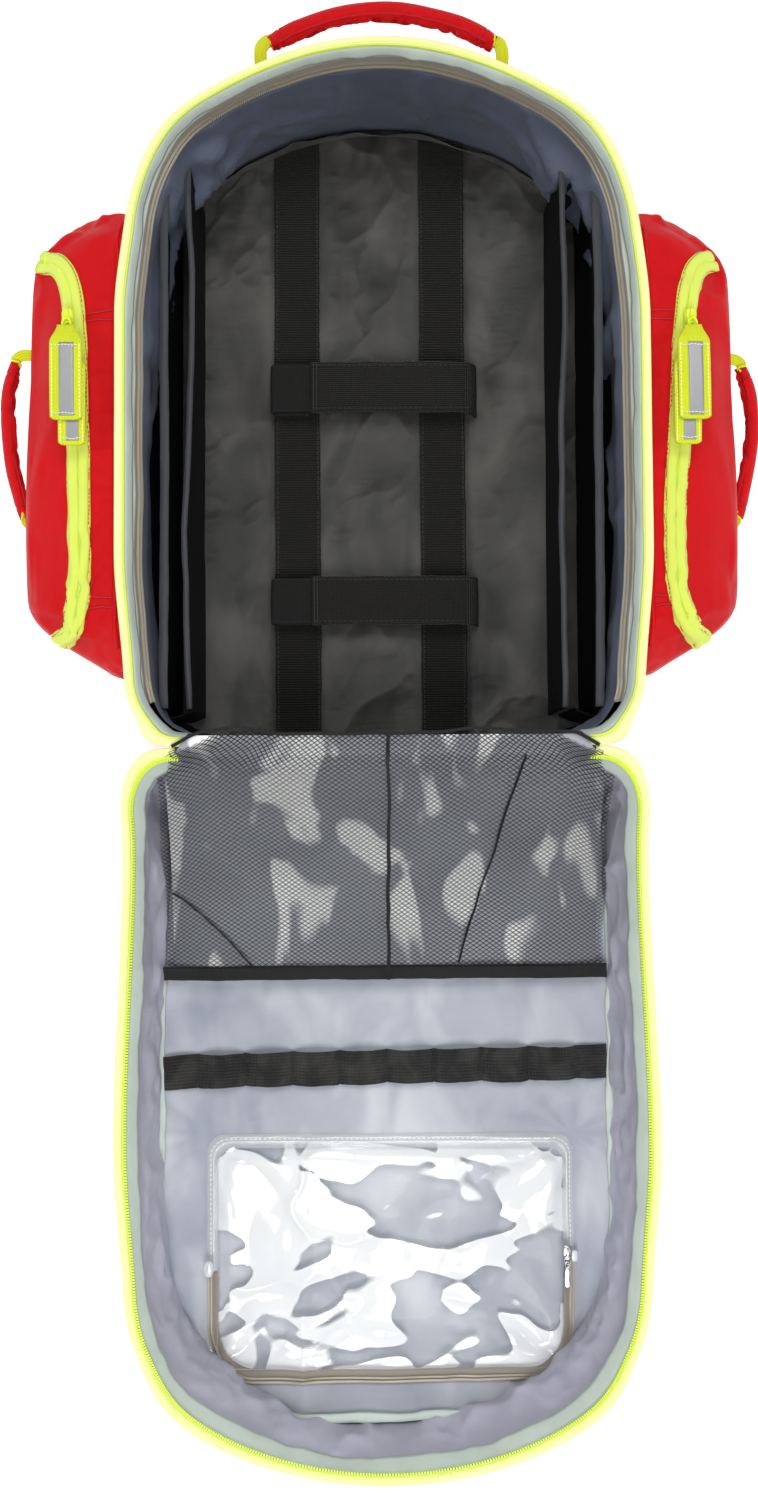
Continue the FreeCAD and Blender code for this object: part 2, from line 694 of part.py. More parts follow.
FRONT_MID = "-(front_near + front_far) / 2"
front_block = box(
    "FrontBlock", 0, FRONT_MID, 0, "2 * front_half_width", "front_far - front_near", "lid_face - gap",
)
front = rounded("FrontPocket", front_block, 40, lambda edge: runs_along(edge, upright))
sub_part("front_pocket", front)
FRONT_ZIP_Z = 52
zip_outer = box(
    "FrontZipOuter", 0, FRONT_MID, FRONT_ZIP_Z, "2 * front_half_width + 4",
    "front_far - front_near + 4", 14,
)
zip_round = rounded("FrontZipRound", zip_outer, 42, lambda edge: runs_along(edge, upright))
zip_band = cut("FrontZipBand", zip_round, front)
zip_hinge_side = box("FrontZipHingeSide", 0, "-front_near", 0, "2 * front_half_width + 40", 160, 200)
sub_part("front_pocket_zip", cut("FrontZip", zip_band, zip_hinge_side))
SLIDER_X = "front_half_width + 2 + gap + 2.5"
sub_part("front_pocket_slider", box("FrontSlider", f"-({SLIDER_X})", -150, FRONT_ZIP_Z + 2.5, 5, 14, 9))
sub_part(
    "front_pocket_tab", box("FrontTab", f"-({SLIDER_X}) - 3.9", -193.5, FRONT_ZIP_Z + 3.5, 2.2, 70, 7),
)

# ---- Check every sub-part, then write it --------------------------------------------------------

doc.recompute()
for piece in SUB_PARTS:
    if {"Invalid", "Error"} & set(piece.State) or piece.Shape.isNull() or not piece.Shape.isValid():
        raise RuntimeError(f"{piece.Label}: {piece.State}")
    piece.Shape.exportStep(f"parts/{piece.Label}.step")
print(len(SUB_PARTS), "sub-parts")
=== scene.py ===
# %% [markdown]
# # A trauma backpack, opened flat
#
# The bag lies on its back with its lid folded open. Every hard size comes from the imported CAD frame; this
# lesson gives the frame its looks: coated nylon, zip tapes, satin linings, mesh, clear film and webbing.
# Sewn goods are mostly long strips that follow a seam, so the main tool here is a strip swept along the rim.

# %% Load the frame
import math

import bmesh
import bpy
import numpy as np
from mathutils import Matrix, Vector
from mathutils.bvhtree import BVHTree


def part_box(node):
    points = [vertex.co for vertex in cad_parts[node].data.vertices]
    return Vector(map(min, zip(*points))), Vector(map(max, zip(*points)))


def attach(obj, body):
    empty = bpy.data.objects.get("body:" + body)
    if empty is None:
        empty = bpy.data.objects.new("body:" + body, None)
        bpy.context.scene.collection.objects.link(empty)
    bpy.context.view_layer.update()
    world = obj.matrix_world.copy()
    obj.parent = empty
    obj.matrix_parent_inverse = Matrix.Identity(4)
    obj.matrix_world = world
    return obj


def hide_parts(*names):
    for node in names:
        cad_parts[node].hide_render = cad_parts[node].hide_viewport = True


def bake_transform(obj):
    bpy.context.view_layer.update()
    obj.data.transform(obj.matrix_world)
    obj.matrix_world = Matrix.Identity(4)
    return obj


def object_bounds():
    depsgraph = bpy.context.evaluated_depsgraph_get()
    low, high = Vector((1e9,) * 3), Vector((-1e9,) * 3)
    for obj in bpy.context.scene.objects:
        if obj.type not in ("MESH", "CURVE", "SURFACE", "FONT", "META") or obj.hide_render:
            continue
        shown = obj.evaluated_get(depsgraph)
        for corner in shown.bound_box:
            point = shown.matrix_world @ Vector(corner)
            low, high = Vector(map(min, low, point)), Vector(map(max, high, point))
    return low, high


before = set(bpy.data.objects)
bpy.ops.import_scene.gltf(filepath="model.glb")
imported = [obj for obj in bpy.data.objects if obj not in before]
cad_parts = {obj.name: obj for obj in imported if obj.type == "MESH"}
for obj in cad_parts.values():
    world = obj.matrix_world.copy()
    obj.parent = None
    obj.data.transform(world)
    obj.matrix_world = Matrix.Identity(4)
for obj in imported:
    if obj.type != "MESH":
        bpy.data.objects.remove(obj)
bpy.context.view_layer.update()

# %% [markdown]
# ## Places taken from the frame
#
# Body and lid share one rim outline, mirrored at the fabric hinge. Its size is read from the rim tape's box,
# and the hinge line from the hinge strip. All other places are counted from that hinge line: `v` runs from
# the hinge towards the far end of whichever half a piece belongs to.

# %% Rim sizes and the hinge line
TAPE_PROUD = 0.0012
HINGE_GAP = 0.0026
tape_low, tape_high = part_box("body_rim_tape")
strip_low, strip_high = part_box("hinge_strip")
HALF = tape_high.x - TAPE_PROUD
HINGE_Y = (strip_low.y + strip_high.y) / 2 + HINGE_GAP / 2
LENGTH = tape_high.y - TAPE_PROUD - HINGE_Y
RIM_Z = tape_high.z
CORNER, SHOULDER, RISE = 0.050, 0.115, 0.140
PANEL_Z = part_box("back_panel_lining")[1].z
LID_PANEL_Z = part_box("lid_panel")[1].z
LID_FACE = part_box("lid_shell")[0].z
BODY_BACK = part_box("body_shell")[0].z
print(
    "half width", round(HALF, 4), "length", round(LENGTH, 4), "hinge at y", round(HINGE_Y, 4), "rim z",
    round(RIM_Z, 4),
)

# %% [markdown]
# ## The rim outline as a path
#
# The outline is a straight hinge edge, two small corners, straight sides, two large far corners and an
# arched crown. All its arcs share their centres with every inset copy, so a point that moves along the
# outline's normal stays on a true inset. One dense table of points and normals serves every strip.

# %% The outline table
def outline_table(steps=400):
    """Points (x, v), outward normals and running length, from the middle of the hinge round to it again."""
    across = HALF - SHOULDER
    along = LENGTH - RISE
    crown = (across ** 2 + RISE ** 2 - SHOULDER ** 2) / (2 * (RISE - SHOULDER))
    crown_v = LENGTH - crown
    lean = math.atan2(along - crown_v, across)
    turn = np.linspace(0, 1, steps)
    hinge = np.c_[turn * (HALF - CORNER), np.zeros(steps)]
    near = -math.pi / 2 + turn * math.pi / 2
    corner = np.c_[HALF - CORNER + CORNER * np.cos(near), CORNER + CORNER * np.sin(near)]
    side = np.c_[np.full(steps, HALF), CORNER + turn * (along - CORNER)]
    far = turn * lean
    shoulder = np.c_[across + SHOULDER * np.cos(far), along + SHOULDER * np.sin(far)]
    top = lean + turn * (math.pi / 2 - lean)
    arch = np.c_[crown * np.cos(top), crown_v + crown * np.sin(top)]
    right = np.vstack([hinge, corner[1:], side[1:], shoulder[1:], arch[1:]])
    points = np.vstack([right, (right * [-1, 1])[-2::-1]])
    tangent = np.gradient(points, axis=0)
    tangent /= np.linalg.norm(tangent, axis=1)[:, None]
    normal = np.c_[tangent[:, 1], -tangent[:, 0]]
    steps_long = np.linalg.norm(np.diff(points, axis=0), axis=1)
    return points, normal, np.r_[0, np.cumsum(steps_long)]


RIM_POINTS, RIM_NORMALS, RIM_RUN = outline_table()
RIM_LONG = RIM_RUN[-1]
print("rim outline is", round(RIM_LONG, 3), "m long")


def rim_at(run):
    """Points and outward normals of the outline at the given running lengths."""
    run = np.mod(run, RIM_LONG)
    pick = lambda values: np.interp(run, RIM_RUN, values)
    points = np.c_[pick(RIM_POINTS[:, 0]), pick(RIM_POINTS[:, 1])]
    normals = np.c_[pick(RIM_NORMALS[:, 0]), pick(RIM_NORMALS[:, 1])]
    return points, normals / np.linalg.norm(normals, axis=1)[:, None]


def to_y(v, half="body"):
    """Y of a distance from the hinge line, on the body or on the lid."""
    return HINGE_Y + v if half == "body" else HINGE_Y - HINGE_GAP - v


# %% [markdown]
# Open and empty, the soft walls don't keep the pattern's outline. They draw in near the hinge, where the
# tape ends, and at the shoulders. Each pull is an eased step, and the hinge corners flare out.

# %% How the walls draw in
def ease(value, start, stop):
    """0 before start, 1 after stop, smooth between."""
    t = np.clip((value - start) / (stop - start), 0, 1)
    return t * t * (3 - 2 * t)


FLARE, FLARE_RUN = 0.072, 0.0115
HINGE_PULL, SHOULDER_PULL, CROWN_PULL = 0.040, 0.057, 0.073
LID_FLARE, LID_FLARE_RUN = 0.104, 0.021
LID_HINGE_PULL, LID_SHOULDER_PULL, LID_CROWN_FLARE = 0.037, 0.040, 0.080


def drawn_in(v, half="body"):
    """Share of the pattern's width at v."""
    v = np.maximum(np.asarray(v, float), 0)
    if half == "body":
        near = FLARE * np.exp(-(v / FLARE_RUN) ** 2) - HINGE_PULL * (1 - ease(v, 0.030, 0.150))
        return 1 + near - SHOULDER_PULL * ease(v, 0.320, 0.440) - CROWN_PULL * ease(v, 0.465, 0.535)
    near = LID_FLARE * np.exp(-v / LID_FLARE_RUN) - LID_HINGE_PULL * (1 - ease(v, 0.060, 0.290))
    return 1 + near - LID_SHOULDER_PULL * ease(v, 0.290, 0.420) + LID_CROWN_FLARE * ease(v, 0.440, 0.525)


print("narrowest share of the body's width", round(float(drawn_in(np.linspace(0, LENGTH, 200)).min()), 3))

# %% [markdown]
# ## Soft unevenness
#
# No sewn strip is perfectly even. Smooth noise on a seeded grid of random values gives waves, and its
# ridged form (one minus the absolute value) gives the sharp creases of thin, folded nylon.

# %% Smooth noise and creases
def smooth_noise(x, y, seed):
    """Noise between -1 and 1 that changes over one unit of x and y."""
    table = np.random.default_rng(seed).uniform(-1, 1, (64, 64))
    x0, y0 = np.floor(x).astype(int), np.floor(y).astype(int)
    fx, fy = x - x0, y - y0
    fx, fy = fx * fx * (3 - 2 * fx), fy * fy * (3 - 2 * fy)
    at = lambda i, j: table[(x0 + i) % 64, (y0 + j) % 64]
    low = at(0, 0) * (1 - fx) + at(1, 0) * fx
    high = at(0, 1) * (1 - fx) + at(1, 1) * fx
    return low * (1 - fy) + high * fy


def layered(x, y, seed, layers=3):
    total = sum(smooth_noise(x * 2 ** k, y * 2 ** k, seed + k) / 2 ** k for k in range(layers))
    return total / 1.6


def creases(x, y, seed, sharp=3):
    """Ridges between 0 and 1 where thin cloth folds."""
    return (1 - np.abs(layered(x, y, seed))) ** sharp


# %% [markdown]
# ## Making pieces
#
# A piece is built from a grid of points. Its UV map is in metres along the grid, so a weave of 0.6 mm in a
# material is 0.6 mm on every piece. `finish_piece` gives it its material, its body and the CAD node it
# stands for in one call.

# %% Piece helpers
def finish_piece(piece, body, material=None, slot=None, stands_for=()):
    if material:
        piece.data.materials.clear()
        piece.data.materials.append(material)
    if body:
        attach(piece, body)
    if stands_for:
        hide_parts(*stands_for)
    return piece


def new_piece(name, verts, faces, uvs=None, smooth=True):
    """A mesh object from points, faces and one UV per point."""
    mesh = bpy.data.meshes.new(name)
    mesh.from_pydata([tuple(v) for v in verts], [], [tuple(f) for f in faces])
    if uvs is not None:
        layer = mesh.uv_layers.new(name="metres")
        corner_points = np.zeros(len(mesh.loops), int)
        mesh.loops.foreach_get("vertex_index", corner_points)
        layer.data.foreach_set("uv", np.asarray(uvs, float)[corner_points].ravel())
    mesh.polygons.foreach_set("use_smooth", np.full(len(mesh.polygons), smooth))
    mesh.update()
    piece = bpy.data.objects.new(name, mesh)
    bpy.context.scene.collection.objects.link(piece)
    return piece


# %% [markdown]
# Most sewn parts start as a grid of points, with faces between neighbours.

# %% Grid pieces
def grid_piece(name, points, close_u=False, close_v=False, thick=0.0, caps=False, smooth=True):
    """A skin over points[row, column]; rows are joined to rows and columns to columns."""
    rows, columns = points.shape[:2]
    across = np.linalg.norm(np.diff(points, axis=0), axis=2).mean(axis=1)
    along = np.linalg.norm(np.diff(points, axis=1), axis=2).mean(axis=0)
    v = np.r_[0, np.cumsum(across)]
    u = np.r_[0, np.cumsum(along)]
    uvs = np.stack(np.meshgrid(u, v), axis=2).reshape(-1, 2)
    faces = []
    for r in range(rows if close_v else rows - 1):
        for c in range(columns if close_u else columns - 1):
            below, right = (r + 1) % rows, (c + 1) % columns
            faces.append(
                (r * columns + c, r * columns + right, below * columns + right, below * columns + c),
            )
    if caps and close_v:
        faces.append([r * columns for r in range(rows)])
        faces.append([r * columns + columns - 1 for r in reversed(range(rows))])
    piece = new_piece(name, points.reshape(-1, 3), faces, uvs, smooth)
    face_out(piece)
    if thick:
        thicken(piece, thick)
    return piece


def face_out(piece):
    """Point the faces of a piece the same way, outwards where it is closed."""
    tool = bmesh.new()
    tool.from_mesh(piece.data)
    bmesh.ops.recalc_face_normals(tool, faces=tool.faces)
    tool.to_mesh(piece.data)
    tool.free()


def apply_modifiers(piece):
    """Put the shape that the modifiers make into the mesh itself."""
    graph = bpy.context.evaluated_depsgraph_get()
    mesh = bpy.data.meshes.new_from_object(piece.evaluated_get(graph))
    piece.modifiers.clear()
    piece.data = mesh
    return piece


# %% [markdown]
# Cloth gets its thickness, and stiff edges get their rounding, from modifiers.

# %% Thickness and rounding
def thicken(piece, thick, offset=0.0):
    solid = piece.modifiers.new("thick", "SOLIDIFY")
    solid.thickness = thick
    solid.offset = offset
    return apply_modifiers(piece)


def soften(piece, levels=1):
    smooth = piece.modifiers.new("smooth", "SUBSURF")
    smooth.levels = levels
    smooth.render_levels = levels
    return apply_modifiers(piece)


def rim_strip(name, half, rows, start=0.0, stop=None, step=0.004, **shape):
    """A strip along the rim. rows gives for each profile row a function of the running length that returns
    (distance outside the outline, height)."""
    closed = stop is None
    stop = RIM_LONG if closed else stop
    count = int((stop - start) / step)
    run = np.linspace(start, stop, count, endpoint=not closed)
    points, normals = rim_at(run)
    grid = np.zeros((len(rows), count, 3))
    for index, row in enumerate(rows):
        out, z = row(run)
        v = points[:, 1] + normals[:, 1] * out
        grid[index, :, 0] = (points[:, 0] + normals[:, 0] * out) * drawn_in(v, half)
        grid[index, :, 1] = to_y(v, half)
        grid[index, :, 2] = z
    return grid_piece(name, grid, close_u=closed, **shape)


def level(out, z):
    """A profile row that stays at one inset and height."""
    return lambda run: (np.full(len(run), out), np.full(len(run), z))


# %% [markdown]
# Stitches and teeth are many small boxes in one mesh.

# %% Stitches and teeth
def many_boxes(name, places, sizes, along, up=None):
    """Small blocks joined into one mesh: stitches, zip teeth. along gives each block's long direction."""
    places, along = np.asarray(places, float), np.asarray(along, float)
    along = along / np.linalg.norm(along, axis=1)[:, None]
    up = np.tile([0, 0, 1.0], (len(places), 1)) if up is None else np.asarray(up, float)
    side = np.cross(up, along)
    side /= np.linalg.norm(side, axis=1)[:, None]
    up = np.cross(along, side)
    signs = np.array([(a, b, c) for a in (-1, 1) for b in (-1, 1) for c in (-1, 1)], float) / 2
    length, width, height = sizes
    verts = (
        places[:, None]
        + signs[None, :, :1] * length * along[:, None]
        + signs[None, :, 1:2] * width * side[:, None]
        + signs[None, :, 2:] * height * up[:, None]
    )
    block = np.array([(0, 1, 3, 2), (4, 6, 7, 5), (0, 4, 5, 1), (2, 3, 7, 6), (0, 2, 6, 4), (1, 5, 7, 3)])
    faces = (block[None] + 8 * np.arange(len(places))[:, None, None]).reshape(-1, 4)
    uvs = np.zeros((len(places) * 8, 2))
    return new_piece(name, verts.reshape(-1, 3), faces, uvs, smooth=False)


# %% [markdown]
# ## Finishes
#
# Each finish is a Principled shader with a colour that varies a little, a fine weave and a bump. The weave
# is made from sines of the UV map. A neon tape looks brighter than white light allows, because its dye
# fluoresces; here that brightness is painted light, a faint glow of its own colour that shines whatever the lamps do.

# %% Finish helpers
def paint(code):
    """A linear colour from a web colour code."""
    parts = [int(code[i:i + 2], 16) / 255 for i in (1, 3, 5)]
    return [p / 12.92 if p <= 0.04045 else ((p + 0.055) / 1.055) ** 2.4 for p in parts] + [1.0]


class Finish:
    """A material with the few nodes that cloth needs."""

    def __init__(self, name, colour, rough=0.6, sheen=0.0, specular=0.5):
        self.material = bpy.data.materials.new(name)
        self.material.use_nodes = True
        self.nodes = self.material.node_tree.nodes
        self.links = self.material.node_tree.links
        self.shader = self.nodes["Principled BSDF"]
        self.shader.inputs["Base Color"].default_value = paint(colour)
        self.shader.inputs["Roughness"].default_value = rough
        self.shader.inputs["Specular IOR Level"].default_value = specular
        self.shader.inputs["Sheen Weight"].default_value = sheen
        self.colour = paint(colour)
        self.rough = rough
        self.height = None
        coordinates = self.nodes.new("ShaderNodeTexCoord")
        self.place = coordinates.outputs["Object"]
        split = self.nodes.new("ShaderNodeSeparateXYZ")
        self.links.new(coordinates.outputs["UV"], split.inputs[0])
        self.u, self.v = split.outputs[0], split.outputs[1]

    def math(self, kind, a, b=None):
        node = self.nodes.new("ShaderNodeMath")
        node.operation = kind
        for index, value in enumerate((a, b)):
            if value is None:
                continue
            if isinstance(value, (int, float)):
                node.inputs[index].default_value = value
            else:
                self.links.new(value, node.inputs[index])
        return node.outputs[0]

    def noise(self, size, detail=3.0, stretch=(1, 1, 1)):
        """Noise between 0 and 1 whose blotches are about size metres."""
        mapping = self.nodes.new("ShaderNodeMapping")
        mapping.inputs["Scale"].default_value = stretch
        self.links.new(self.place, mapping.inputs[0])
        node = self.nodes.new("ShaderNodeTexNoise")
        node.inputs["Scale"].default_value = 1 / size
        node.inputs["Detail"].default_value = detail
        self.links.new(mapping.outputs[0], node.inputs["Vector"])
        return node.outputs[0]

    def patches(self, size, low, high, stretch=(1, 1, 1), twist=0.6):
        """Blotches with rather hard edges: 0 where the noise is under low, 1 where it is over high."""
        spots = self.noise(size, 2.0, stretch)
        spots.node.inputs["Distortion"].default_value = twist
        node = self.nodes.new("ShaderNodeMapRange")
        node.inputs["From Min"].default_value = low
        node.inputs["From Max"].default_value = high
        self.links.new(spots, node.inputs["Value"])
        return node.outputs[0]

    def wave(self, along, pitch):
        return self.math("SINE", self.math("MULTIPLY", along, 2 * math.pi / pitch))

    def weave(self, pitch, strength=0.3, ratio=1.0):
        """Crossing threads: the product of two waves."""
        threads = self.math("MULTIPLY", self.wave(self.u, pitch), self.wave(self.v, pitch * ratio))
        return self.raise_by(threads, strength * pitch * 0.5)

    def ribs(self, along, pitch, strength=0.3):
        return self.raise_by(self.wave(along, pitch), strength * pitch * 0.5)

    def raise_by(self, value, metres):
        """Add a height map, in metres, to the bump."""
        scaled = self.math("MULTIPLY", value, metres)
        self.height = scaled if self.height is None else self.math("ADD", self.height, scaled)
        return self

    def vary(self, factor, other, amount=1.0):
        """Mix the colour towards another one where factor is high."""
        mix = self.nodes.new("ShaderNodeMix")
        mix.data_type = "RGBA"
        scaled = self.math("MULTIPLY", factor, amount)
        self.links.new(scaled, mix.inputs[0])
        source = self.shader.inputs["Base Color"]
        if source.is_linked:
            self.links.new(source.links[0].from_socket, mix.inputs[6])
        else:
            mix.inputs[6].default_value = self.colour
        mix.inputs[7].default_value = paint(other)
        self.links.new(mix.outputs[2], source)
        return self

    def rub(self, factor, low, high):
        """Let the roughness run from low to high with factor."""
        node = self.nodes.new("ShaderNodeMapRange")
        node.inputs["To Min"].default_value = low
        node.inputs["To Max"].default_value = high
        self.links.new(factor, node.inputs["Value"])
        self.links.new(node.outputs[0], self.shader.inputs["Roughness"])
        return self

    def glow(self, strength):
        # Painted light: the finish glows faintly in its own colour although it is no lamp.
        self.shader.inputs["Emission Color"].default_value = self.colour
        self.shader.inputs["Emission Strength"].default_value = strength
        return self

    def done(self, bump=1.0):
        if self.height is not None:
            node = self.nodes.new("ShaderNodeBump")
            node.inputs["Distance"].default_value = 1.0
            node.inputs["Strength"].default_value = bump
            self.links.new(self.height, node.inputs["Height"])
            self.links.new(node.outputs[0], self.shader.inputs["Normal"])
        return self.material


# %% [markdown]
# ### Coated red nylon
#
# The outside is a woven nylon with a coating: saturated red, a soft gloss, fine threads and faint creases.

# %% Red nylon
def make_red_nylon():
    look = Finish("red_nylon", "#D0050D", rough=0.5, specular=0.15)
    look.weave(0.0008, 0.35)
    look.raise_by(look.noise(0.02, 4), 0.0009)
    look.vary(look.noise(0.12), "#A6060E", 0.6)
    look.vary(look.noise(0.004, 2), "#DE1A24", 0.35)
    look.rub(look.noise(0.03), 0.42, 0.6)
    return look.done(0.8)


RED = make_red_nylon()

# %% [markdown]
# ### Neon tapes and webbing
#
# The zip tape is a dense twill, the webbing has strong cross ribs. Both share one fluorescent dye.

# %% Lime finishes
def make_lime(name, colour, dark, ribbed):
    look = Finish(name, colour, rough=0.62, sheen=0.15, specular=0.25)
    if ribbed:
        look.ribs(look.v, 0.0019, 0.5).ribs(look.u, 0.0011, 0.3)
    else:
        look.weave(0.0009, 0.5)
    look.vary(look.noise(0.03), dark, 0.5)
    look.vary(look.math("MULTIPLY", look.wave(look.u, 0.0009), look.wave(look.v, 0.0009)), dark, 0.25)
    look.rub(look.noise(0.01), 0.5, 0.75)
    # The neon finishes get a painted glow.
    return look.glow(0.10).done(0.7)


LIME_TAPE = make_lime("lime_tape", "#DAEA66", "#CCE23E", False)
# LIME_EDGE is paler than the zip tape: on the rim binding the extra paleness is painted glare of the lamps on the
# top-lit rim.
LIME_EDGE = make_lime("lime_edge", "#F3F7B6", "#EAF28E", False)
LIME_WEBBING = make_lime("lime_webbing", "#D6E022", "#AEBF12", True)


def make_lime_coil():
    look = Finish("lime_coil", "#D8F02A", rough=0.35, specular=0.5)
    look.vary(look.noise(0.002, 2), "#AFCF14", 0.6)
    # The coil gets a painted glow too.
    return look.glow(0.06).done()


LIME_COIL = make_lime_coil()

# %% [markdown]
# ### Linings
#
# The body's walls have a dark blue-grey nylon, the lid's a lighter lilac-grey one. Both are thin and shiny
# where they crease. The strip inside the rim is paler and greener.

# %% Lining finishes
def make_lining(name, colour, dark, light, rough):
    look = Finish(name, colour, rough=rough, sheen=0.1, specular=0.55)
    look.weave(0.0006, 0.25)
    look.raise_by(look.noise(0.012, 4), 0.0007)
    look.vary(look.noise(0.09), dark, 0.6)
    look.vary(look.noise(0.02, 4), light, 0.35)
    look.rub(look.noise(0.02), rough - 0.1, rough + 0.15)
    return look.done(0.9)


DARK_LINING = make_lining("dark_lining", "#454D60", "#343A48", "#68728A", 0.40)
LILAC_LINING = make_lining("lilac_lining", "#B9B8C8", "#9C9AB0", "#D6D5E0", 0.42)
PALE_STRIP = make_lining("pale_strip", "#BFCBC1", "#A5B3A8", "#DCE5DC", 0.5)
GREY_SLEEVE = make_lining("grey_sleeve", "#2A2C31", "#1E2023", "#43464D", 0.5)

# %% [markdown]
# ### Satin
#
# Satin's long floats run one way, so its highlight is stretched. Anisotropy would need a tangent, and a
# finely ribbed bump across one direction does nearly the same in every view.

# %% Satin finishes
def make_satin(name, colour, dark, light, rough, amount):
    look = Finish(name, colour, rough=rough, sheen=0.08, specular=0.6)
    look.ribs(look.u, 0.0007, 0.35).weave(0.0009, 0.15)
    look.raise_by(look.noise(0.026, 4, (0.5, 1.5, 1)), 0.0021)
    # The dark tones and dark patches are painted shade of folds; the light tones and light patches are painted sheen.
    look.vary(look.noise(0.11, 3, (1, 0.5, 1)), dark, amount)
    look.vary(look.noise(0.05, 4), light, amount * 0.5)
    look.vary(look.patches(0.075, 0.46, 0.66, (1.2, 0.8, 1)), light, amount * 0.55)
    look.vary(look.patches(0.060, 0.50, 0.72, (1.4, 0.6, 1)), dark, amount * 0.6)
    look.rub(look.noise(0.04), rough - 0.08, rough + 0.14)
    return look.done(0.8)


# Both satins carry painted sheen and painted shade in their colour.
BLACK_SATIN = make_satin("black_satin", "#222221", "#101010", "#5F5D59", 0.30, 0.95)
LID_SATIN = make_satin("lid_satin", "#A4A9B4", "#80879A", "#E4E6EA", 0.36, 0.85)


def make_shaded_black():
    """Black cloth of the narrow side compartments, made matt and darker than the black satin: the extra darkness is
    painted shade of the deep compartments.
    """
    look = Finish("shaded_black", "#0B0B0C", rough=0.75, specular=0.15)
    look.weave(0.0008, 0.3)
    look.vary(look.noise(0.03, 3), "#151517", 0.6)
    return look.done()


SHADED_BLACK = make_shaded_black()

# %% [markdown]
# ### Black trims
#
# Loop webbing is matt and fuzzy with a square weave, hook tape is a field of tiny hooks, elastic has close
# cross ribs, and the binding is a fine ribbon.

# %% Black trim finishes
def make_loop_webbing():
    look = Finish("loop_webbing", "#141311", rough=0.9, sheen=0.08, specular=0.12)
    look.ribs(look.u, 0.0021, 0.7).ribs(look.v, 0.0017, 0.6)
    look.vary(look.math("MULTIPLY", look.wave(look.u, 0.0021), look.wave(look.v, 0.0017)), "#24221F", 0.5)
    look.vary(look.noise(0.006, 5), "#26241F", 0.5)
    look.raise_by(look.noise(0.0012, 3), 0.0005)
    return look.done()


def make_hook_tape():
    look = Finish("hook_tape", "#0E0E0D", rough=0.8, sheen=0.05, specular=0.2)
    look.weave(0.0012, 1.2)
    look.vary(look.noise(0.003, 4), "#2B2A28", 0.6)
    return look.done()


def make_elastic():
    look = Finish("elastic", "#1E1D1B", rough=0.8, sheen=0.08, specular=0.2)
    look.ribs(look.u, 0.0012, 0.8).ribs(look.v, 0.0025, 0.4)
    # The patchy mix towards light grey is painted highlight on the loops; the other mix is random tone.
    look.vary(look.noise(0.01, 3), "#33333A", 0.5).vary(look.patches(0.022, 0.45, 0.6), "#45443E", 0.6)
    return look.done()


def make_binding():
    look = Finish("binding", "#1A1918", rough=0.65, sheen=0.08, specular=0.25)
    look.ribs(look.u, 0.0010, 0.6)
    look.vary(look.noise(0.02, 3), "#303034", 0.5)
    return look.done()


LOOP_WEBBING = make_loop_webbing()
HOOK_TAPE = make_hook_tape()
ELASTIC = make_elastic()
BINDING = make_binding()


def make_net_satin():
    """The satin behind the net, which bulges up against it; its hard-edged white patches, scattered by noise, are
    painted highlights.
    """
    look = Finish("net_satin", "#B4B7BE", rough=0.34, sheen=0.05, specular=0.6)
    look.ribs(look.u, 0.0007, 0.3)
    look.vary(look.noise(0.06, 3), "#8A8D95", 0.8)
    # Painted highlight: hard-edged white patches.
    look.vary(look.patches(0.062, 0.55, 0.61, (1.6, 0.7, 1)), "#FFFFFF")
    look.raise_by(look.noise(0.03, 3), 0.0010)
    return look.done(0.8)


NET_SATIN = make_net_satin()


def make_mesh_yarn():
    look = Finish("mesh_yarn", "#0A0A0B", rough=0.6, sheen=0.05, specular=0.25)
    look.vary(look.noise(0.02, 2), "#161618", 0.6)
    return look.done()


MESH_YARN = make_mesh_yarn()

# %% [markdown]
# ### Zips, metal, film and thread

# %% Small hard finishes
def make_plain(name, colour, other, rough, metallic=0.0, grain=0.004):
    look = Finish(name, colour, rough=rough)
    look.shader.inputs["Metallic"].default_value = metallic
    look.vary(look.noise(grain, 3), other, 0.5)
    look.rub(look.noise(grain * 2, 2), rough - 0.08, rough + 0.1)
    return look.done()


OLIVE_COIL = make_plain("olive_coil", "#A69C89", "#5A5549", 0.35, grain=0.0015)
OLIVE_TAPE = make_lining("olive_tape", "#8B8478", "#6B665C", "#A49D90", 0.6)
STEEL = make_plain("slider_steel", "#C9CACB", "#9C9D9F", 0.28, metallic=1.0)
BLACK_PLASTIC = make_plain("black_plastic", "#1A1A1C", "#2A2A2D", 0.4)
REFLECTIVE = make_plain("reflective_strip", "#8E8F90", "#A8A9AA", 0.38, metallic=0.35, grain=0.001)
WHITE_THREAD = make_plain("white_thread", "#E8E8E0", "#CFCFC8", 0.7)
BLACK_THREAD = make_plain("black_thread", "#101011", "#242427", 0.7)
RED_THREAD = make_plain("red_thread", "#A80A12", "#C8141E", 0.7)
PLASTIC_END = make_plain("clear_end", "#D9DCDD", "#BFC3C5", 0.2)


